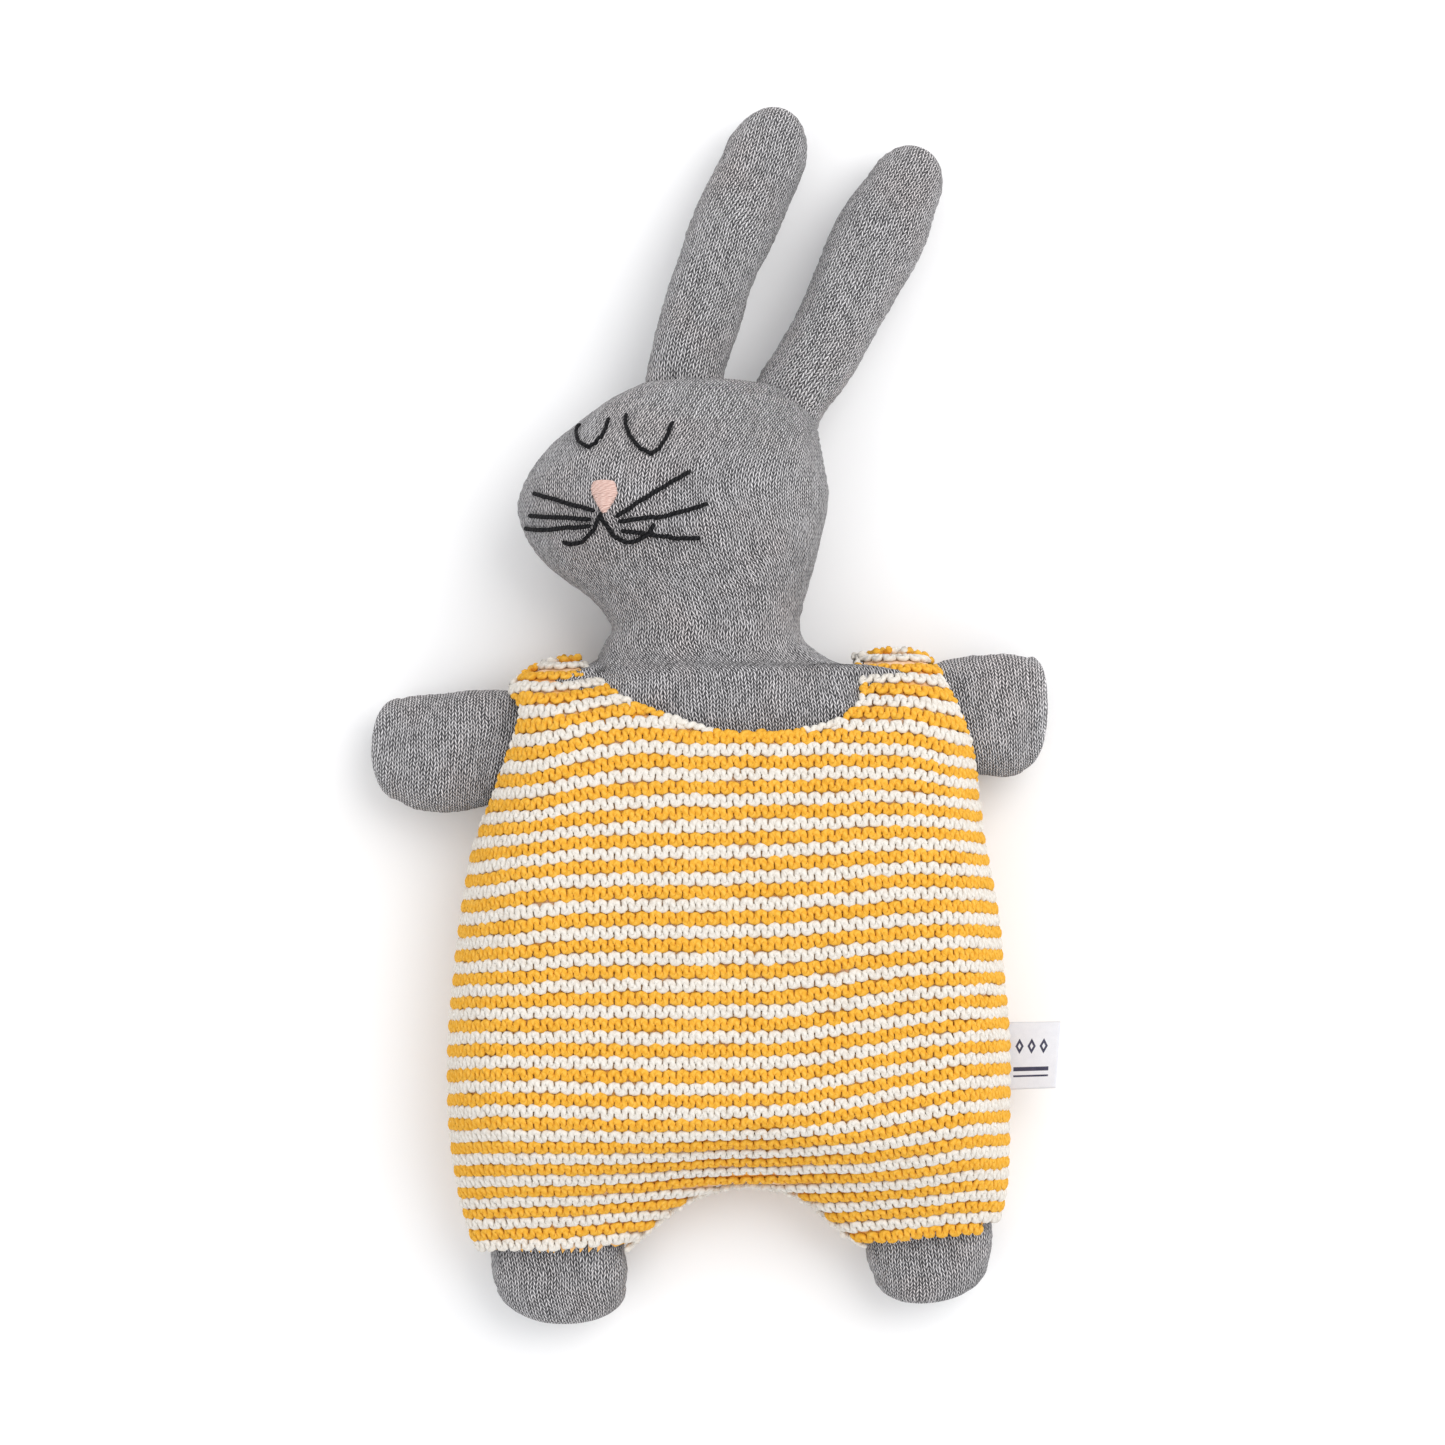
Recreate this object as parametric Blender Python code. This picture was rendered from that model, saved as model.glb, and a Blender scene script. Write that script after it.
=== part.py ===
"""Stuffed bunny rabbit, lying on its back.

Frame: +Z out of the belly, +Y towards the ears, +X towards the toy's left
hand (the right-hand side when it is seen from above). The origin is under
the middle of the toy, on the surface that it lies on.

All design numbers below are in millimetres and are scaled once, by MM.
"""

import math

import bmesh
import bpy
from mathutils import Vector
from mathutils.bvhtree import BVHTree
from mathutils.geometry import delaunay_2d_cdt

MM = 0.001

# ---- driving dimensions -------------------------------------------------
COVER = 1.5            # thickness of the grey jersey
GAP = 0.4              # between a cover and its filling
KNIT = 3.0             # thickness of the striped garter knit
EASE = 1.0             # between the romper and the body inside it

EQUATOR = 26.0         # height of the side seams above the surface
SIDE_R = 28.0          # how far in from a side seam the body is rounded
BELLY_TOP = 62.0       # highest point of the romper
HEM_TOP = 38.0         # height of the romper at its leg hems
SHOULDER_TOP = 58.0    # height at the shoulders

NECK_Y, NECK_X, NECK_Z = 17.0, -4.0, 28.0
NECK_R, NECK_HALF = 22.5, 29.0
HEAD_DEG = (-15.0, 22.0)

EAR_ROOT_R = 10.0
EAR_DEG = (-10.0, 60.0)
ARM_ROOT_R = 10.5
ARM_DEG = (-15.0, 40.0)
FOOT_ROOT_R = 11.6
FOOT_DEG = (-20.0, 25.0)

THREAD_R = 0.55        # embroidery thread
LABEL_T = 0.45         # one layer of the woven side label

# ---- clear the scene ----------------------------------------------------
for old in list(bpy.data.objects):
    bpy.data.objects.remove(old, do_unlink=True)

scene = bpy.context.scene
scene.unit_settings.system = "METRIC"
scene.unit_settings.scale_length = 1.0


def material(name, color, roughness, metallic=0.0):
    mat = bpy.data.materials.new(name)
    mat.use_nodes = True
    bsdf = mat.node_tree.nodes["Principled BSDF"]
    bsdf.inputs["Base Color"].default_value = (*color, 1.0)
    bsdf.inputs["Roughness"].default_value = roughness
    bsdf.inputs["Metallic"].default_value = metallic
    return mat


JERSEY = (0.29, 0.28, 0.29)
SLOTS = {
    "grey_jersey": (JERSEY, 0.95),
    "fibre_filling": ((0.86, 0.86, 0.84), 0.95),
    "garter_knit": ((0.80, 0.52, 0.16), 0.9),
    "black_thread": ((0.02, 0.02, 0.022), 0.7),
    "pink_thread": ((0.72, 0.48, 0.42), 0.6),
    "woven_label": ((0.82, 0.82, 0.84), 0.8),
}


def finish(name, bm, slot, parent=None, sharp=40.0):
    """Turns a bmesh, in millimetres, into a named object with its own material."""
    bmesh.ops.remove_doubles(bm, verts=bm.verts, dist=1e-4)
    bmesh.ops.dissolve_degenerate(bm, edges=bm.edges, dist=1e-5)
    bmesh.ops.recalc_face_normals(bm, faces=bm.faces)
    bmesh.ops.triangulate(bm, faces=bm.faces)
    bmesh.ops.scale(bm, vec=(MM, MM, MM), verts=bm.verts)
    mesh = bpy.data.meshes.new(name)
    bm.to_mesh(mesh)
    bm.free()
    obj = bpy.data.objects.new(name, mesh)
    scene.collection.objects.link(obj)
    color, rough = SLOTS[slot]
    obj.data.materials.append(material(name + "_" + slot, color, rough))
    obj.data.shade_smooth()
    obj.data.set_sharp_from_angle(angle=math.radians(sharp))
    if parent is not None:
        place(obj, parent)
    return obj


def joint_empty(name, at):
    empty = bpy.data.objects.new(name, None)
    empty.empty_display_size = 0.02
    empty.location = at * MM
    scene.collection.objects.link(empty)
    return empty


def place(obj, parent):
    """Parents a piece to its joint and puts the piece's origin on the joint."""
    offset = parent.location.copy()
    for v in obj.data.vertices:
        v.co -= offset
    obj.parent = parent


# ---- stuffed limbs: lofted sections with a rounded root -----------------
def power(value, exponent):
    return math.copysign(abs(value) ** exponent, value)


class Limb:
    """A stuffed tube along u from its joint.

    rows: (s, half width, centre offset along w, top, bottom, lift) for each
    section, from the root to just before the tip. The root is a knuckle
    turned about the joint's axis w, so that it clears its socket at any
    angle. tip is where the last section closes.
    """

    def __init__(self, at, u, rows, tip, sides=14, squareness=2.3, bump=None):
        self.at = Vector(at)
        self.u = Vector(u).normalized()
        self.w = Vector((self.u.y, -self.u.x, 0.0)).normalized()
        self.n = self.w.cross(self.u).normalized()
        self.rows, self.tip, self.sides = rows, tip, sides
        self.e = 2.0 / squareness
        self.bump = bump
        # Turning about this axis by the right-hand rule lifts the tip.
        self.axis = self.u.cross(self.n)

    def point(self, s, w, n, floor):
        p = self.at + self.u * s + self.w * w + self.n * n
        if self.bump:
            p.z += self.bump(p.x, p.y) * max(0.0, min(1.0, n / 12.0))
        if floor is not None:
            p.z = max(p.z, floor)
        return p

    def ring(self, row, inset, floor, knuckle=0.0):
        s, half, centre, top, bottom, lift = row
        found = []
        for i in range(self.sides):
            t = 2 * math.pi * i / self.sides
            c, d = math.cos(t), math.sin(t)
            c = 0.0 if abs(c) < 1e-9 else c
            d = 0.0 if abs(d) < 1e-9 else d
            w = centre + (half - inset) * power(c, self.e)
            n = ((top if d > 0 else bottom) - inset) * power(d, self.e)
            back = -abs(n) * math.sin(knuckle)
            found.append(
                self.point(s + back, w, lift + n * math.cos(knuckle), floor)
            )
        return found

    def rings(self, inset, ground, closed_root):
        """Rings from the root's back to the last section."""
        floor = None if ground is None else ground + inset
        first = self.rows[0]
        turns = (90, 60, 30) if closed_root else (52, 26)
        found = [
            self.ring(first, inset, floor, math.radians(turn)) for turn in turns
        ]
        found += [self.ring(row, inset, floor) for row in self.rows]
        # The tip: one small ring near the end, then a point.
        s, half, centre, top, bottom, lift = self.rows[-1]
        end = self.tip - inset
        reach = end - s
        for share, size in ((0.55, 0.83), (0.86, 0.51)):
            found.append(
                self.ring(
                    (
                        s + reach * share,
                        inset + (half - inset) * size,
                        centre,
                        inset + (top - inset) * size,
                        inset + (bottom - inset) * size,
                        lift,
                    ),
                    inset,
                    floor,
                )
            )
        pole = self.point(end, centre, lift, floor)
        return found, pole

    def skin(self, bm, inset, ground, closed_root):
        rings, pole = self.rings(inset, ground, closed_root)
        verts = [[bm.verts.new(p) for p in ring] for ring in rings]
        k = self.sides
        for a, b in zip(verts, verts[1:]):
            for i in range(k):
                bm.faces.new((a[i], a[(i + 1) % k], b[(i + 1) % k], b[i]))
        top = bm.verts.new(pole)
        for i in range(k):
            bm.faces.new((verts[-1][i], verts[-1][(i + 1) % k], top))
        return verts[0]

    def cover(self, name, parent, ground=None):
        bm = bmesh.new()
        outer = self.skin(bm, 0.0, ground, False)
        inner = self.skin(bm, COVER, ground, False)
        k = self.sides
        for i in range(k):
            bm.faces.new((outer[i], outer[(i + 1) % k], inner[(i + 1) % k], inner[i]))
        return finish(name, bm, "grey_jersey", parent)

    def filling(self, name, parent, ground=None):
        bm = bmesh.new()
        self.skin(bm, COVER + GAP, ground, True)
        return finish(name, bm, "fibre_filling", parent)

    def socket(self, name, extra, swing):
        """A hidden cutter: the knuckle's turned shape, large enough for the swing."""
        s, half, centre, top, bottom, lift = self.rows[0]
        grow = 1.0 / math.cos(math.radians(swing))
        bm = bmesh.new()
        around, along = 20, 12
        rows = []
        for j in range(along + 1):
            v = -1 + 2 * j / along
            v = math.sin(v * math.pi / 2)
            radius = top * (max(0.0, 1 - abs(v) ** (2 / self.e))) ** (self.e / 2)
            radius = radius * grow + extra
            w = centre + v * (half + extra)
            rows.append(
                [
                    bm.verts.new(
                        self.at
                        + self.w * w
                        + self.u * (radius * math.cos(2 * math.pi * i / around))
                        + self.n
                        * (lift + radius * math.sin(2 * math.pi * i / around))
                    )
                    for i in range(around)
                ]
            )
        for a, b in zip(rows, rows[1:]):
            for i in range(around):
                bm.faces.new((a[i], a[(i + 1) % around], b[(i + 1) % around], b[i]))
        bm.faces.new(rows[0])
        bm.faces.new(rows[-1])
        cutter = finish(name, bm, "fibre_filling")
        cutter.hide_render = True
        cutter.display_type = "WIRE"
        return cutter


def cut(obj, cutter):
    mod = obj.modifiers.new(cutter.name, "BOOLEAN")
    mod.operation = "DIFFERENCE"
    mod.solver = "EXACT"
    mod.object = cutter


def cut_now(obj, cutters):
    """Cuts the sockets, then joins the points that the cuts leave a hair apart."""
    for cutter in cutters:
        cut(obj, cutter)
    graph = bpy.context.evaluated_depsgraph_get()
    bpy.context.view_layer.update()
    mesh = bpy.data.meshes.new_from_object(obj.evaluated_get(graph))
    obj.modifiers.clear()
    obj.data = mesh
    bm = bmesh.new()
    bm.from_mesh(mesh)
    bmesh.ops.remove_doubles(bm, verts=bm.verts, dist=2e-5)
    bmesh.ops.dissolve_degenerate(bm, edges=bm.edges, dist=1e-6)
    bmesh.ops.triangulate(bm, faces=bm.faces)
    bm.to_mesh(mesh)
    bm.free()
    mesh.shade_smooth()
    mesh.set_sharp_from_angle(angle=math.radians(40.0))


# ---- head ----------------------------------------------------------------
neck_at = Vector((NECK_X, NECK_Y, NECK_Z))


def muzzle(x, y):
    """The cheeks and snout stand proud of the head, to the toy's right."""
    snout = math.exp(-(((x + 33) / 21) ** 2) - ((y - 66) / 17) ** 2)
    brow = math.exp(-(((x + 16) / 30) ** 2) - ((y - 84) / 20) ** 2)
    return 5.5 * snout + 1.5 * brow


# Section positions above the neck joint, with the head's left and right edges.
HEAD_EDGES = [
    # s, left x, right x, top, bottom, lift
    (0.0, -33.0, 25.0, 22.5, 22.5, 0.0),
    (7.0, -33.2, 25.6, 23.4, 23.2, 0.2),
    (14.0, -35.5, 27.2, 26.2, 24.8, 0.7),
    (20.5, -40.0, 29.0, 29.4, 26.0, 1.2),
    (27.0, -48.8, 31.0, 31.8, 27.2, 1.6),
    (34.0, -55.5, 33.0, 33.4, 28.4, 2.0),
    (41.5, -60.2, 34.6, 34.2, 29.6, 2.6),
    (49.0, -62.2, 35.1, 34.0, 30.4, 3.0),
    (57.0, -60.9, 34.6, 32.8, 30.2, 3.2),
    (65.0, -57.0, 32.8, 30.8, 28.8, 3.2),
    (72.5, -51.5, 31.4, 27.8, 26.2, 3.0),
    (79.0, -43.5, 30.0, 23.2, 22.4, 2.6),
]
head_rows = [
    (s, (right - left) / 2, (right + left) / 2 - NECK_X, top, bottom, lift)
    for s, left, right, top, bottom, lift in HEAD_EDGES
]
head = Limb(neck_at, (0, 1, 0), head_rows, 88.6, sides=20, squareness=2.15, bump=muzzle)
neck_joint = joint_empty("neck_joint", neck_at)
head_cover = head.cover("head_cover", neck_joint, ground=0.3)
head_filling = head.filling("head_filling", neck_joint, ground=0.3)

# ---- ears ------------------------------------------------------------------
EARS = {
    # side: joint, tip direction, tip distance
    "right": ((-8.0, 116.0, 29.5), (0.355, 0.935, -0.190), 79.6),
    "left": ((27.6, 107.5, 28.5), (0.438, 0.899, -0.195), 79.7),
}
EAR_ROWS = [
    (0.0, 12.3, 0.0, EAR_ROOT_R, EAR_ROOT_R, 0.0),
    (12.0, 12.9, 0.0, 10.6, 10.4, 0.0),
    (28.0, 13.7, 0.0, 11.4, 11.2, 0.0),
    (44.0, 14.1, 0.0, 11.8, 11.6, 0.0),
    (58.0, 13.9, 0.0, 11.6, 11.5, 0.0),
    (69.0, 12.2, 0.0, 10.0, 10.0, 0.0),
]
ears = {}
for side, (at, u, tip) in EARS.items():
    ear = Limb(at, u, EAR_ROWS, tip, sides=14, squareness=2.2)
    joint = joint_empty(f"ear_joint_{side}", Vector(at))
    joint.parent = neck_joint
    joint.location = (Vector(at) - neck_at) * MM
    ears[side] = ear
    for kind in ("cover", "filling"):
        piece = getattr(ear, kind)(f"ear_{kind}_{side}", None, ground=0.3)
        for v in piece.data.vertices:
            v.co -= Vector(at) * MM
        piece.parent = joint
    swing = 20.0
    cutter = ear.socket(f"ear_socket_cutter_{side}", 0.6, swing)
    for piece in (head_cover, head_filling):
        # The head's own mesh is held from the neck joint's point.
        cut(piece, cutter)

bpy.context.view_layer.update()
for piece in (head_cover, head_filling):
    graph = bpy.context.evaluated_depsgraph_get()
    mesh = bpy.data.meshes.new_from_object(piece.evaluated_get(graph))
    piece.modifiers.clear()
    piece.data = mesh
    bm = bmesh.new()
    bm.from_mesh(mesh)
    bmesh.ops.remove_doubles(bm, verts=bm.verts, dist=2e-5)
    bmesh.ops.dissolve_degenerate(bm, edges=bm.edges, dist=1e-6)
    bmesh.ops.triangulate(bm, faces=bm.faces)
    bm.to_mesh(mesh)
    bm.free()

# ---- torso and romper --------------------------------------------------------
# The garment's outline from above, anticlockwise as a list of runs. A closed run
# is a side seam, where front and back meet; an open run is a hem or the neck.
SHOULDER_RIGHT_HAND = [(-36.9, 17.2), (-44.5, 18.0), (-54.0, 16.5), (-61.8, 12.6), (-65.2, 8.0)]
SIDE_RIGHT_HAND = [
    (-66.5, 0.0), (-68.6, -10.0), (-71.5, -24.0), (-75.0, -36.0), (-78.0, -50.0),
    (-80.4, -66.0), (-82.2, -82.0), (-83.6, -98.0), (-84.0, -114.0), (-83.4, -130.0),
    (-81.4, -146.0), (-78.8, -158.0), (-75.6, -167.3),
]
CROTCH = [
    (-28.6, -167.8), (-23.5, -163.4), (-17.0, -158.0), (-9.5, -152.6), (0.0, -148.8),
    (9.8, -147.4), (20.0, -148.8), (29.0, -152.6), (35.4, -158.0), (41.0, -163.0),
    (47.0, -166.4),
]
SIDE_LEFT_HAND = [
    (88.6, -159.4), (91.0, -150.0), (91.7, -138.0), (91.8, -122.0), (92.0, -106.0),
    (91.2, -92.0), (89.8, -78.0), (88.6, -64.0), (86.2, -50.0), (83.6, -36.0),
    (82.6, -24.0), (82.2, -13.0), (81.2, -3.0), (78.6, 6.0), (74.4, 13.0),
]
SHOULDER_LEFT_HAND = [(68.6, 17.4), (61.5, 20.2), (53.0, 20.6), (45.0, 18.6), (37.5, 19.0), (32.0, 22.4)]

# Edges inside the outline.
NECKLINE_FRONT = [
    (-36.9, 17.2), (-35.2, 10.0), (-27.9, 4.1), (-12.9, -2.5), (2.2, -7.2), (16.9, -7.5),
    (32.0, -4.7), (41.1, 0.3), (45.4, 7.8), (45.0, 18.6),
]
NECKLINE_BACK = [(-36.9, 17.2), (-27.9, 4.1), (-12.9, -2.5), (2.2, -7.2), (16.9, -7.5),
                 (32.0, -4.7), (41.1, 0.3), (45.4, 7.8), (45.0, 18.6)]
ARMHOLE_RIGHT_HAND = [(-65.2, 8.0), (-61.5, 4.0), (-61.2, -1.0), (-63.5, -8.5), (-67.0, -17.5),
                      (-70.6, -27.0), (-75.0, -36.0)]
ARMHOLE_LEFT_HAND = [(68.6, 17.4), (71.0, 11.0), (74.5, 4.6), (77.4, -2.4), (79.6, -8.0),
                     (82.6, -24.0)]


def resample(points, spacing):
    """Points about this far apart along a smooth curve through the given ones."""
    pts = [Vector((x, y)) for x, y in points]
    dense = []
    for i in range(len(pts) - 1):
        p0 = pts[max(i - 1, 0)]
        p1, p2 = pts[i], pts[i + 1]
        p3 = pts[min(i + 2, len(pts) - 1)]
        for j in range(12):
            t = j / 12
            dense.append(
                0.5
                * (
                    2 * p1
                    + (p2 - p0) * t
                    + (2 * p0 - 5 * p1 + 4 * p2 - p3) * t * t
                    + (3 * p1 - p0 - 3 * p2 + p3) * t**3
                )
            )
    dense.append(pts[-1])
    total = [0.0]
    for a, b in zip(dense, dense[1:]):
        total.append(total[-1] + (b - a).length)
    count = max(1, round(total[-1] / spacing))
    found, k = [], 0
    for i in range(count + 1):
        want = total[-1] * i / count
        while k < len(total) - 2 and total[k + 1] < want:
            k += 1
        share = (want - total[k]) / max(1e-9, total[k + 1] - total[k])
        found.append(dense[k].lerp(dense[k + 1], min(1.0, share)))
    found[0], found[-1] = pts[0], pts[-1]
    return found


STEP = 11.5
runs = [
    (resample(SHOULDER_RIGHT_HAND, STEP), True),
    (resample([SHOULDER_RIGHT_HAND[-1]] + SIDE_RIGHT_HAND, STEP), True),
    (resample([SIDE_RIGHT_HAND[-1], CROTCH[0]], STEP), False),
    (resample(CROTCH, 9.0), True),
    (resample([CROTCH[-1], SIDE_LEFT_HAND[0]], STEP), False),
    (resample(SIDE_LEFT_HAND + [SHOULDER_LEFT_HAND[0]], STEP), True),
    (resample(SHOULDER_LEFT_HAND, STEP), True),
    (resample([SHOULDER_LEFT_HAND[-1], SHOULDER_RIGHT_HAND[0]], STEP), False),
]

outline, open_edge = [], []
for pts, closed in runs:
    for p in pts[:-1]:
        outline.append(p)
        open_edge.append(not closed)

# The seams that the height is measured from run on past the hems and the neck.
seams = []
for i, p in enumerate(outline):
    if not open_edge[i]:
        seams.append((p, outline[(i + 1) % len(outline)]))
for a, b in (
    (SIDE_RIGHT_HAND[-1], (-68.0, -215.0)),
    (CROTCH[0], (-34.0, -215.0)),
    (CROTCH[-1], (54.0, -215.0)),
    (SIDE_LEFT_HAND[0], (80.0, -215.0)),
    (SHOULDER_LEFT_HAND[-1], (30.0, 60.0)),
    (SHOULDER_RIGHT_HAND[0], (-38.0, 60.0)),
):
    seams.append((Vector(a), Vector(b)))


def nearest_seam(p):
    """(distance, direction out of the body) from the nearest side seam."""
    best, out = 1e9, Vector((0, 0))
    for a, b in seams:
        d = b - a
        t = max(0.0, min(1.0, (p - a).dot(d) / d.length_squared))
        q = a + d * t
        gap = (q - p).length
        if gap < best:
            best = gap
            out = (q - p) / gap if gap > 1e-6 else Vector((d.y, -d.x)).normalized()
    return best, out


def inside(p, polygon):
    odd = False
    for a, b in zip(polygon, polygon[1:] + polygon[:1]):
        if (a.y > p.y) != (b.y > p.y) and p.x < (b.x - a.x) * (p.y - a.y) / (b.y - a.y) + a.x:
            odd = not odd
    return odd


def smooth(t):
    t = max(0.0, min(1.0, t))
    return t * t * (3 - 2 * t)


def crown(p):
    """Height of the romper's front above the side seams, away from the seams."""
    belly = BELLY_TOP - EQUATOR
    hem = HEM_TOP - EQUATOR
    shoulder = SHOULDER_TOP - EQUATOR
    down = smooth((-118.0 - p.y) / 48.0)
    up = smooth((p.y + 50.0) / 60.0)
    return belly + (hem - belly) * down + (shoulder - belly) * up


curves = {
    "neck_front": resample(NECKLINE_FRONT, 10.0),
    "arm_right_hand": resample(ARMHOLE_RIGHT_HAND, 10.0),
    "arm_left_hand": resample(ARMHOLE_LEFT_HAND, 10.0),
}

# Flat points, shared by every layer so that nested layers stay parallel.
flat, edges = list(outline), []
edges += [(i, (i + 1) % len(outline)) for i in range(len(outline))]
for pts in curves.values():
    at = [min(range(len(outline)), key=lambda i: (outline[i] - pts[0]).length)]
    for p in pts[1:-1]:
        at.append(len(flat))
        flat.append(p)
    at.append(min(range(len(outline)), key=lambda i: (outline[i] - pts[-1]).length))
    edges += list(zip(at, at[1:]))
drawn = list(flat)

n_out = len(outline)
for depth, stride in ((3.2, 1), (9.5, 1), (18.5, 2)):
    for i in range(0, n_out, stride):
        if open_edge[i] and open_edge[i - 1]:
            continue
        a, b = outline[i - 1], outline[(i + 1) % n_out]
        inward = Vector((-(b - a).y, (b - a).x)).normalized()
        p = outline[i] + inward * depth
        if not inside(p, outline):
            continue
        near, _ = nearest_seam(p)
        if near < 0.93 * depth:
            continue
        if min((p - q).length for q in drawn) < (2.9 if depth < 4 else 5.0):
            continue
        if min((p - q).length for q in flat[len(drawn):] or [Vector((999, 999))]) < 5.5:
            continue
        flat.append(p)
row, y = 0, -160.0
while y < 20.0:
    x = -85.0 + (9.5 if row % 2 else 0.0)
    while x < 95.0:
        p = Vector((x, y))
        if inside(p, outline):
            near, _ = nearest_seam(p)
            if near > (26.0 if -145 < y < -5 else 12.0) and min((p - q).length for q in flat) > 8.5:
                flat.append(p)
        x += 19.0
    y += 16.5
    row += 1

points, _, tris, *_ = delaunay_2d_cdt(flat, edges, [], 0, 1e-4)
points = [Vector(p) for p in points]
tris = [t for t in tris if inside(sum((points[i] for i in t), Vector((0, 0))) / 3, outline)]
depths = [nearest_seam(p) for p in points]


def layer_point(i, offset, front):
    """Point i of the body, this far inside the romper's outer surface."""
    p = points[i]
    near, out = depths[i]
    if near < 1e-3:
        # On a seam the way out is across the outline.
        k = min(range(n_out), key=lambda j: (outline[j] - p).length)
        a, b = outline[k - 1], outline[(k + 1) % n_out]
        out = Vector(((b - a).y, -(b - a).x)).normalized()
        near = 0.0
    turn = math.acos(max(-1.0, 1.0 - min(near, SIDE_R) / SIDE_R))
    shift = out * (offset * math.cos(turn))
    high = crown(p) if front else EQUATOR + 1.5
    z = (high - offset) * math.sin(turn)
    z = EQUATOR + z if front else max(EQUATOR - z, offset)
    return Vector((p.x - shift.x, p.y - shift.y, z))


def boundary(faces):
    seen = {}
    for f in faces:
        for a, b in zip(f, f[1:] + f[:1]):
            seen[(a, b)] = True
    return [(a, b) for a, b in seen if (b, a) not in seen]


def is_seam_edge(a, b):
    return depths[a][0] < 1e-3 and depths[b][0] < 1e-3


faces_all = [list(t) for t in tris]
# delaunay faces turn anticlockwise; make sure of it.
for f in faces_all:
    a, b, c = (points[i] for i in f)
    if (b - a).cross(c - a) < 0:
        f.reverse()


def body_layer(bm, offset):
    """Front and back surfaces at one offset. Returns their vertices by point."""
    top, low = {}, {}
    for i in range(len(points)):
        front = layer_point(i, offset, True)
        top[i] = bm.verts.new(front)
        if depths[i][0] < 1e-3:
            low[i] = top[i]
        else:
            low[i] = bm.verts.new(layer_point(i, offset, False))
    for f in faces_all:
        bm.faces.new([top[i] for i in f])
        bm.faces.new([low[i] for i in reversed(f)])
    return top, low


def drop_loose(bm):
    for v in [v for v in bm.verts if not v.link_faces]:
        bm.verts.remove(v)


rim = [(a, b) for a, b in boundary(faces_all) if not is_seam_edge(a, b)]

bm = bmesh.new()
outer_top, outer_low = body_layer(bm, KNIT + EASE)
inner_top, inner_low = body_layer(bm, KNIT + EASE + COVER)
for a, b in rim:
    bm.faces.new((outer_top[a], outer_top[b], inner_top[b], inner_top[a]))
    bm.faces.new((outer_low[a], outer_low[b], inner_low[b], inner_low[a]))
drop_loose(bm)
torso_cover = finish("torso_cover", bm, "grey_jersey")

bm = bmesh.new()
top, low = body_layer(bm, KNIT + EASE + COVER + GAP)
for a, b in rim:
    quad = [top[a], top[b], low[b], low[a]]
    bm.faces.new([v for k, v in enumerate(quad) if v not in quad[:k]])
drop_loose(bm)
torso_filling = finish("torso_filling", bm, "fibre_filling")


def region(line, closing):
    return [Vector(p) for p in line] + [Vector(p) for p in closing]


OUT_OF_NECK = region(curves["neck_front"], [(32.0, 60.0), (-36.0, 60.0)])
OUT_OF_RIGHT = region(curves["arm_right_hand"], [(-110.0, -36.0), (-110.0, 8.0)])
OUT_OF_LEFT = region(curves["arm_left_hand"], [(120.0, -24.0), (120.0, 17.4)])


def in_romper(f):
    mid = sum((points[i] for i in f), Vector((0, 0))) / 3
    return not any(inside(mid, r) for r in (OUT_OF_NECK, OUT_OF_RIGHT, OUT_OF_LEFT))


romper_faces = [f for f in faces_all if in_romper(f)]


def panel(name, front):
    bm = bmesh.new()
    lift = 0.2 if front else -0.2
    outer, inner = {}, {}
    used = sorted({i for f in romper_faces for i in f})
    for i in used:
        a, b = layer_point(i, 0.0, front), layer_point(i, KNIT, front)
        if depths[i][0] < 1e-3:
            a.z += lift
            b.z += lift
        outer[i], inner[i] = bm.verts.new(a), bm.verts.new(b)
    for f in romper_faces:
        bm.faces.new([outer[i] for i in f])
        bm.faces.new([inner[i] for i in reversed(f)])
    for a, b in boundary(romper_faces):
        bm.faces.new((outer[a], outer[b], inner[b], inner[a]))
    return finish(name, bm, "garter_knit")


romper_front = panel("romper_front", True)
romper_back = panel("romper_back", False)

# ---- arms ------------------------------------------------------------------
ARMS = {
    "right": ((-70.5, -10.3, 25.5), (-1.0, -0.02, -0.26), 37.8, [
        (0.0, 17.6, 0.0, ARM_ROOT_R, ARM_ROOT_R, 0.0),
        (6.0, 18.0, 0.0, 12.2, 12.0, 0.0),
        (14.0, 18.6, 0.0, 14.0, 13.4, 0.0),
        (22.0, 18.6, 0.0, 14.2, 13.6, 0.0),
        (29.5, 17.2, 0.0, 12.8, 12.6, 0.0),
    ]),
    "left": ((80.0, 0.6, 25.5), (1.0, 0.02, -0.30), 25.2, [
        (0.0, 16.6, 0.0, ARM_ROOT_R, ARM_ROOT_R, 0.0),
        (5.0, 17.6, 0.0, 12.0, 12.0, 0.0),
        (11.0, 18.4, 0.4, 13.6, 13.2, 0.0),
        (17.0, 17.6, 0.4, 13.0, 12.8, 0.0),
    ]),
}
arms = {}
for side, (at, u, tip, rows) in ARMS.items():
    arm = Limb(at, u, rows, tip, sides=14, squareness=2.7)
    arms[side] = arm
    joint = joint_empty(f"arm_joint_{side}", Vector(at))
    arm.cover(f"arm_cover_{side}", joint, ground=0.3)
    arm.filling(f"arm_filling_{side}", joint, ground=0.3)
    arm.socket(f"arm_socket_cutter_{side}", 1.0, ARM_DEG[1])

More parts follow.
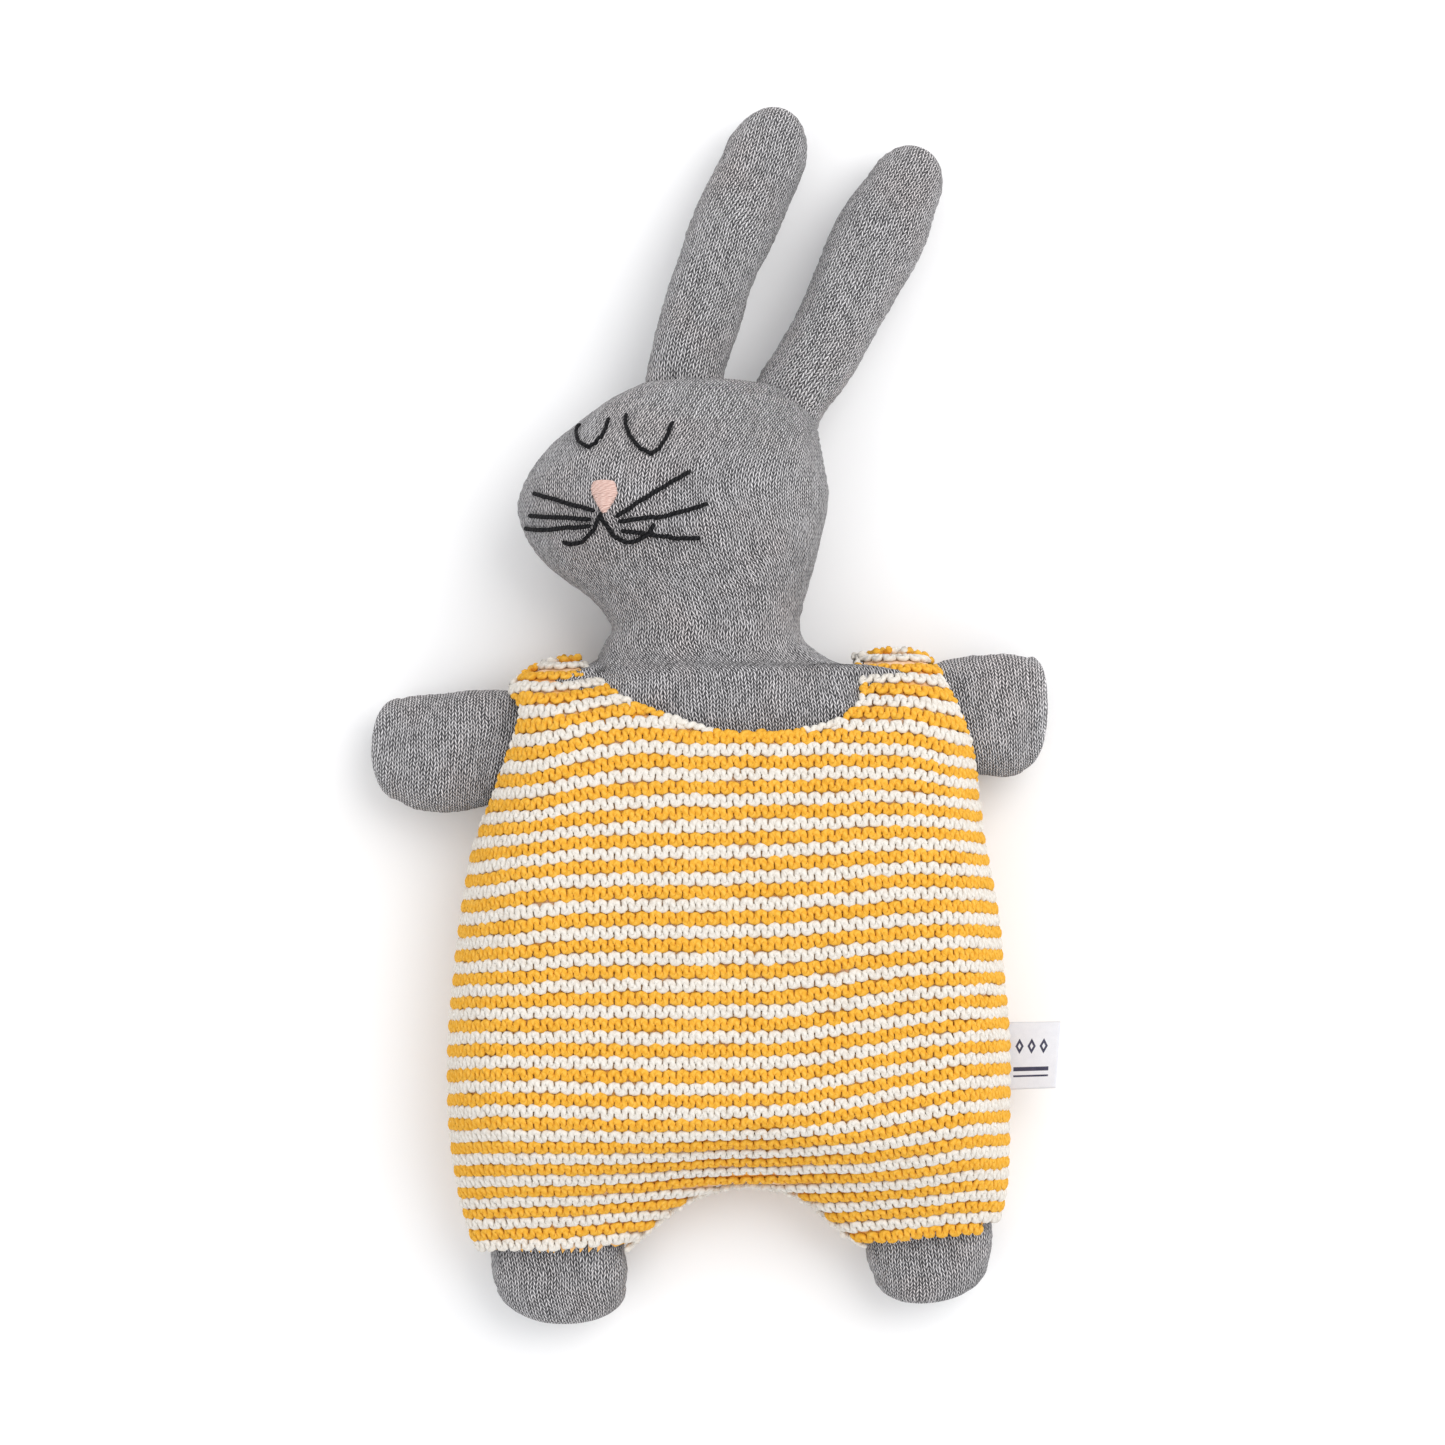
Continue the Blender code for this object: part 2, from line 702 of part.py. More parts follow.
# ---- feet ------------------------------------------------------------------
FEET = {
    "right": ((-51.2, -168.8, 18.4), (-0.03, -1.0, -0.05), 21.2, [
        (0.0, 16.2, 0.0, FOOT_ROOT_R, FOOT_ROOT_R, 0.0),
        (4.5, 19.4, 0.0, 12.3, 12.1, 0.0),
        (10.0, 20.8, 0.0, 13.0, 12.8, 0.0),
        (15.5, 18.4, 0.0, 12.0, 12.0, 0.0),
    ]),
    "left": ((67.2, -165.2, 18.4), (0.10, -1.0, -0.05), 22.0, [
        (0.0, 14.6, 0.0, FOOT_ROOT_R, FOOT_ROOT_R, 0.0),
        (4.5, 17.8, 0.0, 12.3, 12.1, 0.0),
        (10.0, 19.2, 0.0, 13.0, 12.8, 0.0),
        (15.0, 16.8, 0.0, 12.0, 12.0, 0.0),
    ]),
}
feet = {}
for side, (at, u, tip, rows) in FEET.items():
    foot = Limb(at, u, rows, tip, sides=14, squareness=2.3)
    feet[side] = foot
    joint = joint_empty(f"foot_joint_{side}", Vector(at))
    foot.cover(f"foot_cover_{side}", joint, ground=0.3)
    foot.filling(f"foot_filling_{side}", joint, ground=0.3)
    foot.socket(f"foot_socket_cutter_{side}", 1.9, 0.0)

# ---- sockets in the torso ---------------------------------------------------
neck_cutter = head.socket("neck_socket_cutter", 6.4, 0.0)
bpy.context.view_layer.update()
named = bpy.data.objects
arm_cutters = [named[f"arm_socket_cutter_{s}"] for s in ("right", "left")]
foot_cutters = [named[f"foot_socket_cutter_{s}"] for s in ("right", "left")]
cut_now(torso_cover, [neck_cutter] + arm_cutters + foot_cutters)
cut_now(torso_filling, [neck_cutter] + arm_cutters + foot_cutters)
cut_now(romper_front, arm_cutters + foot_cutters)
cut_now(romper_back, arm_cutters + foot_cutters)

# ---- face embroidery ----------------------------------------------------------
bpy.context.view_layer.update()
graph = bpy.context.evaluated_depsgraph_get()
skin_mesh = head_cover.evaluated_get(graph).to_mesh()
offset = head_cover.matrix_world
tree = BVHTree.FromPolygons(
    [offset @ v.co for v in skin_mesh.vertices],
    [tuple(f.vertices) for f in skin_mesh.polygons],
)
head_cover.evaluated_get(graph).to_mesh_clear()


def on_head(x, y):
    """(point, normal) of the head's surface, in millimetres, seen from above."""
    hit, normal, *_ = tree.ray_cast(Vector((x * MM, y * MM, 0.2)), Vector((0, 0, -1)))
    if normal.z < 0:
        normal = -normal
    return hit / MM, normal


def stitch(name, line, over=None, radius=THREAD_R, slot="black_thread", spacing=3.4):
    """A thread laid along a line on the head. It humps over a thread that it crosses at over."""
    flat_line = resample(line, spacing)
    centre = []
    for p in flat_line:
        hit, normal = on_head(p.x, p.y)
        hump = 0.0
        if over is not None:
            hump = 1.6 * math.exp(-(((p - Vector(over)).length / 5.0) ** 4))
        centre.append(hit + normal * (radius + 0.45 + hump))
    bm = bmesh.new()
    rings, k = [], 6
    for i, p in enumerate(centre):
        a, b = centre[max(i - 1, 0)], centre[min(i + 1, len(centre) - 1)]
        along = (b - a).normalized()
        side = along.cross(Vector((0, 0, 1))).normalized()
        up = side.cross(along).normalized()
        rings.append(
            [
                bm.verts.new(
                    p
                    + side * (radius * math.cos(2 * math.pi * j / k))
                    + up * (radius * math.sin(2 * math.pi * j / k))
                )
                for j in range(k)
            ]
        )
    for a, b in zip(rings, rings[1:]):
        for j in range(k):
            bm.faces.new((a[j], a[(j + 1) % k], b[(j + 1) % k], b[j]))
    bm.faces.new(rings[0])
    bm.faces.new(rings[-1])
    return finish(name, bm, slot, neck_joint)


EYES = {
    "eye_stitch_right": [(-42.6, 91.2), (-43.5, 87.2), (-41.4, 84.7), (-39.2, 84.0),
                         (-36.7, 86.2), (-34.5, 89.3), (-33.6, 93.1)],
    "eye_stitch_left": [(-28.2, 94.4), (-28.2, 90.6), (-26.3, 86.5), (-23.8, 83.7),
                        (-21.3, 81.8), (-17.6, 83.7), (-15.7, 86.8), (-14.4, 90.6), (-13.5, 91.9)],
}
for name, line in EYES.items():
    stitch(name, line)

WHISKERS = {
    "whisker_right_upper": [(-56.4, 69.4), (-48.0, 67.4), (-38.6, 64.7)],
    "whisker_right_middle": [(-57.4, 62.9), (-48.0, 62.0), (-39.8, 61.5)],
    "whisker_right_lower": [(-57.0, 58.6), (-48.0, 59.0), (-40.4, 59.2)],
    "whisker_left_upper": [(-30.8, 62.9), (-20.0, 70.3), (-8.5, 76.5)],
    "whisker_left_middle": [(-29.6, 60.6), (-17.2, 63.0), (-2.8, 66.1)],
    "whisker_left_lower": [(-30.2, 58.6), (-23.0, 57.3), (-16.0, 56.4), (-5.3, 55.8)],
}
CROSSING = (-22.0, 57.1)
for name, line in WHISKERS.items():
    stitch(name, line, over=CROSSING if name == "whisker_left_lower" else None)
stitch("mouth_stitch_right", [(-37.6, 60.0), (-40.1, 56.4), (-43.3, 54.2), (-47.0, 54.6)])
stitch("mouth_stitch_left", [(-34.5, 60.2), (-32.6, 57.1), (-28.5, 54.9), (-24.5, 55.4), (-21.3, 57.2), (-19.8, 60.0)])


def nose_pad(name):
    """A low pad of satin stitch, rounded above and narrower below."""
    shape = [
        (-39.0, 69.6), (-38.1, 72.4), (-35.3, 73.9), (-32.6, 72.5), (-31.5, 69.6),
        (-32.3, 66.4), (-33.8, 64.4), (-35.4, 63.9), (-37.0, 64.5), (-38.4, 66.5),
    ]
    bm = bmesh.new()
    tops, lows = [], []
    for x, y in shape:
        hit, normal = on_head(x, y)
        lows.append(bm.verts.new(hit + normal * 0.5))
        tops.append(bm.verts.new(hit + normal * 1.3))
    hit, normal = on_head(-35.3, 69.2)
    mid_low = bm.verts.new(hit + normal * 0.5)
    mid_top = bm.verts.new(hit + normal * 1.9)
    k = len(shape)
    for i in range(k):
        j = (i + 1) % k
        bm.faces.new((tops[i], tops[j], mid_top))
        bm.faces.new((lows[j], lows[i], mid_low))
        bm.faces.new((lows[i], lows[j], tops[j], tops[i]))
    return finish(name, bm, "pink_thread", neck_joint)


nose_pad("nose_stitch")

# ---- side label -------------------------------------------------------------------
LABEL_ROOT_X, LABEL_FOLD_X = 92.6, 107.5
LABEL_LOW_Y, LABEL_HIGH_Y = -117.2, -96.0
LABEL_Z = 24.0


def folded_label(name):
    """A woven tape folded in half: two layers that meet at the outer fold."""
    t = LABEL_T
    profile = [
        (LABEL_ROOT_X, LABEL_Z + 0.5), (LABEL_FOLD_X - 0.9, LABEL_Z + 0.5),
        (LABEL_FOLD_X, LABEL_Z), (LABEL_FOLD_X - 0.9, LABEL_Z - 0.5),
        (LABEL_ROOT_X, LABEL_Z - 0.5),
    ]
    top, low = 0.5 + t, 0.5
    ring = [
        (LABEL_ROOT_X, LABEL_Z + top), (LABEL_FOLD_X - 1.2, LABEL_Z + top),
        (LABEL_FOLD_X - 0.25, LABEL_Z + 0.6 * top), (LABEL_FOLD_X, LABEL_Z),
        (LABEL_FOLD_X - 0.25, LABEL_Z - 0.6 * top), (LABEL_FOLD_X - 1.2, LABEL_Z - top),
        (LABEL_ROOT_X, LABEL_Z - top), (LABEL_ROOT_X, LABEL_Z - low),
        (LABEL_FOLD_X - 1.3, LABEL_Z - low), (LABEL_FOLD_X - 0.75, LABEL_Z),
        (LABEL_FOLD_X - 1.3, LABEL_Z + low), (LABEL_ROOT_X, LABEL_Z + low),
    ]
    del profile
    bm = bmesh.new()
    a = [bm.verts.new((x, LABEL_LOW_Y, z)) for x, z in ring]
    b = [bm.verts.new((x, LABEL_HIGH_Y, z)) for x, z in ring]
    k = len(ring)
    for i in range(k):
        bm.faces.new((a[i], a[(i + 1) % k], b[(i + 1) % k], b[i]))
    bm.faces.new(a)
    bm.faces.new(b)
    return finish(name, bm, "woven_label", sharp=30)


folded_label("side_label")
bpy.context.view_layer.update()
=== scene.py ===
"""Looks of the stuffed bunny rabbit: jersey skins, knitted romper, embroidery and label.

All design numbers are in millimetres and are scaled once, by MM. Outlines are given as
they appear from the camera above, at the height of each part, and seen() takes out the
perspective.
"""

import math

import bpy
import numpy as np
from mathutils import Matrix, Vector
from mathutils.bvhtree import BVHTree
from mathutils.geometry import delaunay_2d_cdt


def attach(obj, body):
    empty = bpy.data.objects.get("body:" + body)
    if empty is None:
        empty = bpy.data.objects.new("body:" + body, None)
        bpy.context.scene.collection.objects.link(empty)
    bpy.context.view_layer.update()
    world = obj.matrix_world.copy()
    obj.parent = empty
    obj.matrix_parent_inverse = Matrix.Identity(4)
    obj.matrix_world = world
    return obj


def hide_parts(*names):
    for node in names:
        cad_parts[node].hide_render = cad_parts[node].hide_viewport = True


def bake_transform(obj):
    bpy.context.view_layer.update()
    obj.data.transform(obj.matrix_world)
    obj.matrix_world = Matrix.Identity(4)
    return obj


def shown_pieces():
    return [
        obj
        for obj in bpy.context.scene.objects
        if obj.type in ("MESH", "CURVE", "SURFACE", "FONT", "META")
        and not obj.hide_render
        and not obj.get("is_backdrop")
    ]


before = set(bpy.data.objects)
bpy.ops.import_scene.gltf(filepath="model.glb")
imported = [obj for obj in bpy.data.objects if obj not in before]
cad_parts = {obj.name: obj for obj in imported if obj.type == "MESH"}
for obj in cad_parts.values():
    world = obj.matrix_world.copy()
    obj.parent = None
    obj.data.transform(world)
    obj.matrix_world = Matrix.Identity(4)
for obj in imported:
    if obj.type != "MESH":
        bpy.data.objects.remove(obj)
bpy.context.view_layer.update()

MM = 0.001
RNG = np.random.default_rng(7)

# ---- camera, light and floor --------------------------------------------------
CAM_X, CAM_Y, CAM_Z = 2.0, -2.0, 1285.0
PLANE = 1258.0  # distance from the camera to the side seams

scene = bpy.context.scene
scene.view_settings.view_transform = "Standard"
scene.view_settings.look = "None"

cam_data = bpy.data.cameras.new("camera")
cam_data.sensor_width = 36.0
cam_data.lens = 36.0 * PLANE / 453.0
cam_data.clip_start = 0.05
cam_data.clip_end = 20.0
cam = bpy.data.objects.new("camera", cam_data)
cam.location = (CAM_X * MM, CAM_Y * MM, CAM_Z * MM)
scene.collection.objects.link(cam)
scene.camera = cam


def seen(x, y, z):
    """The true x, y of a point at height z that appears at x, y in the plane of the seams."""
    k = (CAM_Z - z) / PLANE
    return CAM_X + (x - CAM_X) * k, CAM_Y + (y - CAM_Y) * k


def area_light(name, at, size, power, color=(1, 1, 1)):
    data = bpy.data.lights.new(name, "AREA")
    data.shape = "SQUARE"
    data.size = size
    data.energy = power
    data.color = color
    lamp = bpy.data.objects.new(name, data)
    lamp.location = at
    lamp.rotation_mode = "QUATERNION"
    lamp.rotation_quaternion = (Vector((0, 0, 0)) - Vector(at)).to_track_quat("-Z", "Y")
    scene.collection.objects.link(lamp)
    return lamp


area_light("key", (0.72, 0.55, 1.30), 1.2, 13.0, (1.0, 0.99, 0.98))
area_light("fill", (-1.1, -0.5, 1.3), 1.4, 4.0, (0.97, 0.985, 1.0))

world = bpy.data.worlds.new("studio")
scene.world = world
world.use_nodes = True
world.node_tree.nodes["Background"].inputs["Color"].default_value = (0.985, 0.99, 1.0, 1)
world.node_tree.nodes["Background"].inputs["Strength"].default_value = 0.90


# ---- small helpers --------------------------------------------------------------
def smooth(t):
    t = np.clip(t, 0.0, 1.0)
    return t * t * (3 - 2 * t)


def hermite(xs, ys, x):
    """A smooth curve through (xs, ys), for ys of any trailing shape, read at x."""
    xs, ys = np.asarray(xs, float), np.asarray(ys, float)
    slope = np.gradient(ys, xs, axis=0)
    x = np.clip(x, xs[0], xs[-1])
    i = np.clip(np.searchsorted(xs, x, side="right") - 1, 0, len(xs) - 2)
    h = xs[i + 1] - xs[i]
    t = (x - xs[i]) / h
    if ys.ndim > 1:
        h, t = h[..., None], t[..., None]
    a, b = ys[i], ys[i + 1]
    m, n = slope[i] * h, slope[i + 1] * h
    return (
        (2 * t**3 - 3 * t**2 + 1) * a
        + (t**3 - 2 * t**2 + t) * m
        + (-2 * t**3 + 3 * t**2) * b
        + (t**3 - t**2) * n
    )


def wander(x, seed, wave, octaves=3):
    """A smooth random curve of x, about -1 to 1, with this wavelength."""
    r = np.random.default_rng(seed)
    total = np.zeros_like(np.asarray(x, float))
    for k in range(octaves):
        for _ in range(2):
            f = 2 * math.pi / wave * (1.7**k) * r.uniform(0.75, 1.25)
            total += np.sin(f * x + r.uniform(0, 2 * math.pi)) * (0.62**k) * 0.42
    return total


def lumps(p, seed, wave):
    """Smooth random unevenness over points p (n, 3), about -1 to 1."""
    r = np.random.default_rng(seed)
    total = np.zeros(len(p))
    for _ in range(7):
        d = r.normal(size=3)
        d /= np.linalg.norm(d)
        total += np.sin(p @ d * (2 * math.pi / wave * r.uniform(0.7, 1.5)) + r.uniform(0, 6.28))
    return total / 3.2


def resample(points, spacing):
    """Points about this far apart along a smooth curve through the given ones."""
    pts = np.asarray(points, float)
    dense = []
    for i in range(len(pts) - 1):
        p0, p1 = pts[max(i - 1, 0)], pts[i]
        p2, p3 = pts[i + 1], pts[min(i + 2, len(pts) - 1)]
        t = (np.arange(16) / 16)[:, None]
        dense.append(
            0.5
            * (
                2 * p1
                + (p2 - p0) * t
                + (2 * p0 - 5 * p1 + 4 * p2 - p3) * t * t
                + (3 * p1 - p0 - 3 * p2 + p3) * t**3
            )
        )
    dense = np.vstack(dense + [pts[-1:]])
    total = np.concatenate([[0], np.cumsum(np.linalg.norm(np.diff(dense, axis=0), axis=1))])
    count = max(1, round(total[-1] / spacing))
    want = np.linspace(0, total[-1], count + 1)
    return np.stack([np.interp(want, total, dense[:, k]) for k in range(dense.shape[1])], 1)


def new_mesh(name, verts, faces, mat, smooth_shade=True):
    """A mesh object from millimetre points and faces (quads or triangles, as arrays)."""
    mesh = bpy.data.meshes.new(name)
    verts = np.asarray(verts, np.float32) * MM
    faces = [np.asarray(f, np.int32) for f in (faces if isinstance(faces, list) else [faces])]
    faces = [f for f in faces if len(f)]
    loops = np.concatenate([f.ravel() for f in faces])
    sizes = np.concatenate([np.full(len(f), f.shape[1], np.int32) for f in faces])
    mesh.vertices.add(len(verts))
    mesh.vertices.foreach_set("co", verts.ravel())
    mesh.loops.add(len(loops))
    mesh.loops.foreach_set("vertex_index", loops)
    mesh.polygons.add(len(sizes))
    mesh.polygons.foreach_set("loop_start", np.concatenate([[0], np.cumsum(sizes)[:-1]]).astype(np.int32))
    mesh.polygons.foreach_set("loop_total", sizes)
    mesh.update(calc_edges=True)
    mesh.validate()
    if smooth_shade:
        mesh.shade_smooth()
    obj = bpy.data.objects.new(name, mesh)
    obj.data.materials.append(mat)
    scene.collection.objects.link(obj)
    return obj


def set_uv(obj, per_loop, name="knit"):
    layer = obj.data.uv_layers.new(name=name)
    layer.data.foreach_set("uv", np.asarray(per_loop, np.float32).ravel())


def point_attribute(obj, name, values):
    layer = obj.data.attributes.new(name, "FLOAT", "POINT")
    layer.data.foreach_set("value", np.asarray(values, np.float32))


# ---- materials -------------------------------------------------------------------
class Nodes:
    """Short names for the nodes that the procedural materials are built from."""

    def __init__(self, name):
        self.mat = bpy.data.materials.new(name)
        self.mat.use_nodes = True
        self.tree = self.mat.node_tree
        self.bsdf = self.tree.nodes["Principled BSDF"]

    def add(self, kind, **settings):
        node = self.tree.nodes.new(kind)
        for key, value in settings.items():
            setattr(node, key, value)
        return node

    def put(self, socket, value):
        if isinstance(value, bpy.types.NodeSocket):
            self.tree.links.new(value, socket)
        else:
            socket.default_value = value

    def math(self, op, a, b=0.0, c=None, clamp=False):
        node = self.add("ShaderNodeMath", operation=op, use_clamp=clamp)
        self.put(node.inputs[0], a)
        self.put(node.inputs[1], b)
        if c is not None:
            self.put(node.inputs[2], c)
        return node.outputs[0]

    def noise(self, vector, scale, detail=2.0, rough=0.5, dims="3D"):
        node = self.add("ShaderNodeTexNoise", noise_dimensions=dims)
        self.put(node.inputs["Vector"], vector)
        node.inputs["Scale"].default_value = scale
        node.inputs["Detail"].default_value = detail
        node.inputs["Roughness"].default_value = rough
        return node.outputs["Fac"]

    def white(self, x, y):
        join = self.add("ShaderNodeCombineXYZ")
        self.put(join.inputs[0], x)
        self.put(join.inputs[1], y)
        node = self.add("ShaderNodeTexWhiteNoise", noise_dimensions="2D")
        self.put(node.inputs["Vector"], join.outputs[0])
        return node.outputs["Value"]

    def ramp(self, value, stops, interpolation="LINEAR"):
        node = self.add("ShaderNodeValToRGB")
        node.color_ramp.interpolation = interpolation
        elements = node.color_ramp.elements
        while len(elements) < len(stops):
            elements.new(0.5)
        for element, (at, color) in zip(elements, stops):
            element.position = at
            element.color = (*color, 1.0)
        self.put(node.inputs["Fac"], value)
        return node.outputs["Color"]

    def mix(self, fac, a, b, blend="MIX"):
        node = self.add("ShaderNodeMix", data_type="RGBA", blend_type=blend)
        self.put(node.inputs["Factor"], fac)
        self.put(node.inputs[6], a)
        self.put(node.inputs[7], b)
        return node.outputs[2]

    def bump(self, height, strength, distance):
        node = self.add("ShaderNodeBump")
        node.inputs["Strength"].default_value = strength
        node.inputs["Distance"].default_value = distance
        self.put(node.inputs["Height"], height)
        self.put(self.bsdf.inputs["Normal"], node.outputs["Normal"])

    def uv(self, name="knit"):
        node = self.add("ShaderNodeUVMap", uv_map=name)
        split = self.add("ShaderNodeSeparateXYZ")
        self.put(split.inputs[0], node.outputs["UV"])
        return split.outputs[0], split.outputs[1]

    def place(self):
        return self.add("ShaderNodeTexCoord").outputs["Object"]

    def cloth(self, rough, sheen, sheen_rough=0.5, tint=(1, 1, 1)):
        self.bsdf.inputs["Roughness"].default_value = rough
        self.bsdf.inputs["Sheen Weight"].default_value = sheen
        self.bsdf.inputs["Sheen Roughness"].default_value = sheen_rough
        self.bsdf.inputs["Sheen Tint"].default_value = (*tint, 1.0)
        self.bsdf.inputs["Specular IOR Level"].default_value = 0.2


def jersey_material():
    """Fine stocking stitch in a light and dark grey melange yarn. UVs count wales and courses."""
    n = Nodes("grey_jersey")
    u, v = n.uv()
    place = n.place()
    # Hand-held knitting is uneven: the stitch columns sway a little.
    sway = n.noise(place, 55.0, 2.0, 0.6)
    u = n.math("ADD", u, n.math("MULTIPLY_ADD", sway, 2.0, -1.0))
    sway2 = n.noise(place, 75.0, 2.0, 0.6)
    v = n.math("ADD", v, n.math("MULTIPLY_ADD", sway2, 2.6, -1.3))
    col = n.math("FLOOR", u)
    across = n.math("ABSOLUTE", n.math("SUBTRACT", n.math("SUBTRACT", u, col), 0.5))
    # Two legs a stitch, each highest at a quarter of the way across.
    off = n.math("MULTIPLY", n.math("SUBTRACT", across, 0.25), 4.0)
    leg = n.math("SUBTRACT", 1.0, n.math("MULTIPLY", off, off), clamp=True)
    lean = n.math("SUBTRACT", v, n.math("MULTIPLY", across, 2.5))
    row = n.math("FLOOR", lean)
    phase = n.math("SUBTRACT", lean, row)
    along = n.math("MULTIPLY_ADD", n.math("COSINE", n.math("MULTIPLY", n.math("SUBTRACT", phase, 0.5), 2 * math.pi)), 0.5, 0.5)
    height = n.math("MULTIPLY", n.math("POWER", leg, 0.9), n.math("MULTIPLY_ADD", along, 0.66, 0.34))
    # Each leg of yarn is lighter or darker than the next, and so are its fibres.
    side = n.math("GREATER_THAN", n.math("SUBTRACT", u, col), 0.5)
    cell_x = n.math("MULTIPLY_ADD", col, 2.0, side)
    shade = n.white(cell_x, row)
    streak_at = n.add("ShaderNodeCombineXYZ")
    n.put(streak_at.inputs[0], n.math("MULTIPLY", u, 5.0))
    n.put(streak_at.inputs[1], n.math("MULTIPLY", lean, 1.7))
    streak = n.noise(streak_at.outputs[0], 1.0, 3.0, 0.65)
    fibre = n.noise(place, 1500.0, 2.0, 0.7)
    blend = n.math("ADD", n.math("MULTIPLY", shade, 0.34), n.math("MULTIPLY", n.math("SUBTRACT", streak, 0.5), 1.5))
    blend = n.math("ADD", blend, n.math("MULTIPLY", n.math("SUBTRACT", fibre, 0.5), 0.9))
    # Painted shade: the colour is darker where the stitch surface is low, in the gaps between legs and courses, and
    # lighter on the raised legs.
    blend = n.math("ADD", blend, n.math("MULTIPLY", n.math("SUBTRACT", height, 0.45), 1.35))
    blend = n.math("ADD", blend, 0.32, clamp=True)
    color = n.ramp(
        blend,
        [
            (0.0, (0.020, 0.020, 0.022)),
            (0.30, (0.083, 0.081, 0.087)),
            (0.52, (0.235, 0.230, 0.240)),
            (0.76, (0.52, 0.51, 0.525)),
            (1.0, (0.88, 0.86, 0.875)),
        ],
    )
    warm = n.ramp(n.noise(place, 38.0, 3.0, 0.6), [(0.45, (1.0, 1.0, 1.0)), (0.75, (1.05, 0.99, 0.965))])
    color = n.mix(1.0, color, warm, "MULTIPLY")
    n.put(n.bsdf.inputs["Base Color"], color)
    fuzz = n.math("MULTIPLY", n.noise(place, 2600.0, 2.0, 0.6), 0.28)
    n.bump(n.math("ADD", height, fuzz), 1.0, 0.0006)
    n.put(n.bsdf.inputs["Roughness"], n.math("MULTIPLY_ADD", height, -0.08, 0.98))
    n.cloth(0.95, 0.22, 0.5)
    return n.mat


def yarn_material(name, deep, body, light, sheen=0.25):
    """Soft cotton yarn. UVs: u along in millimetres, v once around. The plies wind round it."""
    n = Nodes(name)
    u, v = n.uv()
    place = n.place()
    twist = n.math("ADD", n.math("MULTIPLY", u, 1.0 / 2.1), n.math("MULTIPLY", v, 2.0))
    wobble = n.noise(place, 420.0, 2.0, 0.6)
    twist = n.math("ADD", twist, n.math("MULTIPLY", wobble, 0.5))
    ply = n.math("MULTIPLY_ADD", n.math("COSINE", n.math("MULTIPLY", twist, 2 * math.pi)), 0.5, 0.5)
    fibre_at = n.add("ShaderNodeCombineXYZ")
    n.put(fibre_at.inputs[0], n.math("MULTIPLY", u, 0.55))
    n.put(fibre_at.inputs[1], n.math("MULTIPLY", n.math("ADD", v, n.math("MULTIPLY", u, 0.22)), 11.0))
    fibre = n.noise(fibre_at.outputs[0], 1.6, 4.0, 0.7)
    patch = n.noise(place, 130.0, 3.0, 0.6)
    # Painted shade: the grooves between the plies are darker in the colour and the ply crowns lighter; the fibre and
    # patch noise is the yarn's own uneven tone.
    blend = n.math("MULTIPLY", ply, 0.30)
    blend = n.math("ADD", blend, n.math("MULTIPLY", n.math("SUBTRACT", fibre, 0.5), 0.9))
    blend = n.math("ADD", blend, n.math("MULTIPLY", n.math("SUBTRACT", patch, 0.5), 0.45))
    blend = n.math("ADD", blend, 0.42, clamp=True)
    n.put(n.bsdf.inputs["Base Color"], n.ramp(blend, [(0.0, deep), (0.5, body), (1.0, light)]))
    fuzz = n.noise(place, 2400.0, 3.0, 0.7)
    height = n.math("ADD", n.math("MULTIPLY", ply, 0.7), n.math("ADD", n.math("MULTIPLY", fibre, 0.6), n.math("MULTIPLY", fuzz, 0.35)))
    n.bump(height, 0.55, 0.0003)
    n.cloth(0.93, sheen, 0.45, light)
    return n.mat


def painted_shade_backing_material():
    """Painted shade for the deep parts of the knit, between the ridges: the yarn of each stripe coloured as it looks
    in shade, darker and browner, with painted bounce light from the yellow.
    """
    n = Nodes("garter_knit_painted_shade")
    attribute = n.add("ShaderNodeAttribute", attribute_name="stripe")
    place = n.place()
    noise = n.noise(place, 600.0, 3.0, 0.6)
    yellow = n.ramp(noise, [(0.25, (0.80, 0.36, 0.025)), (0.75, (0.95, 0.50, 0.045))])
    ivory = n.ramp(noise, [(0.25, (0.78, 0.47, 0.27)), (0.75, (0.92, 0.68, 0.47))])
    n.put(n.bsdf.inputs["Base Color"], n.mix(attribute.outputs["Fac"], ivory, yellow))
    n.bump(noise, 0.7, 0.0004)
    n.cloth(0.95, 0.1)
    return n.mat


def thread_material(name, deep, light, pitch, rough, sheen, spec=0.35):
    """Embroidery floss: strands wound along it. u along in millimetres, v once around."""
    n = Nodes(name)
    u, v = n.uv()
    place = n.place()
    twist = n.math("ADD", n.math("MULTIPLY", u, 1.0 / pitch), n.math("MULTIPLY", v, 2.0))
    strand = n.math("MULTIPLY_ADD", n.math("COSINE", n.math("MULTIPLY", twist, 2 * math.pi)), 0.5, 0.5)
    fibre = n.noise(place, 3200.0, 3.0, 0.7)
    # Painted shade: the grooves between the strands are darker in the colour and the strand crowns lighter; the fibre
    # noise is the floss's own tone.
    blend = n.math("ADD", n.math("MULTIPLY", strand, 0.5), n.math("MULTIPLY", fibre, 0.5), clamp=True)
    n.put(n.bsdf.inputs["Base Color"], n.ramp(blend, [(0.2, deep), (0.85, light)]))
    n.put(n.bsdf.inputs["Roughness"], n.math("MULTIPLY_ADD", strand, -0.1, rough))
    n.bump(n.math("ADD", strand, n.math("MULTIPLY", fibre, 0.3)), 0.6, 0.0002)
    n.cloth(rough, sheen)
    n.bsdf.inputs["Specular IOR Level"].default_value = spec
    return n.mat


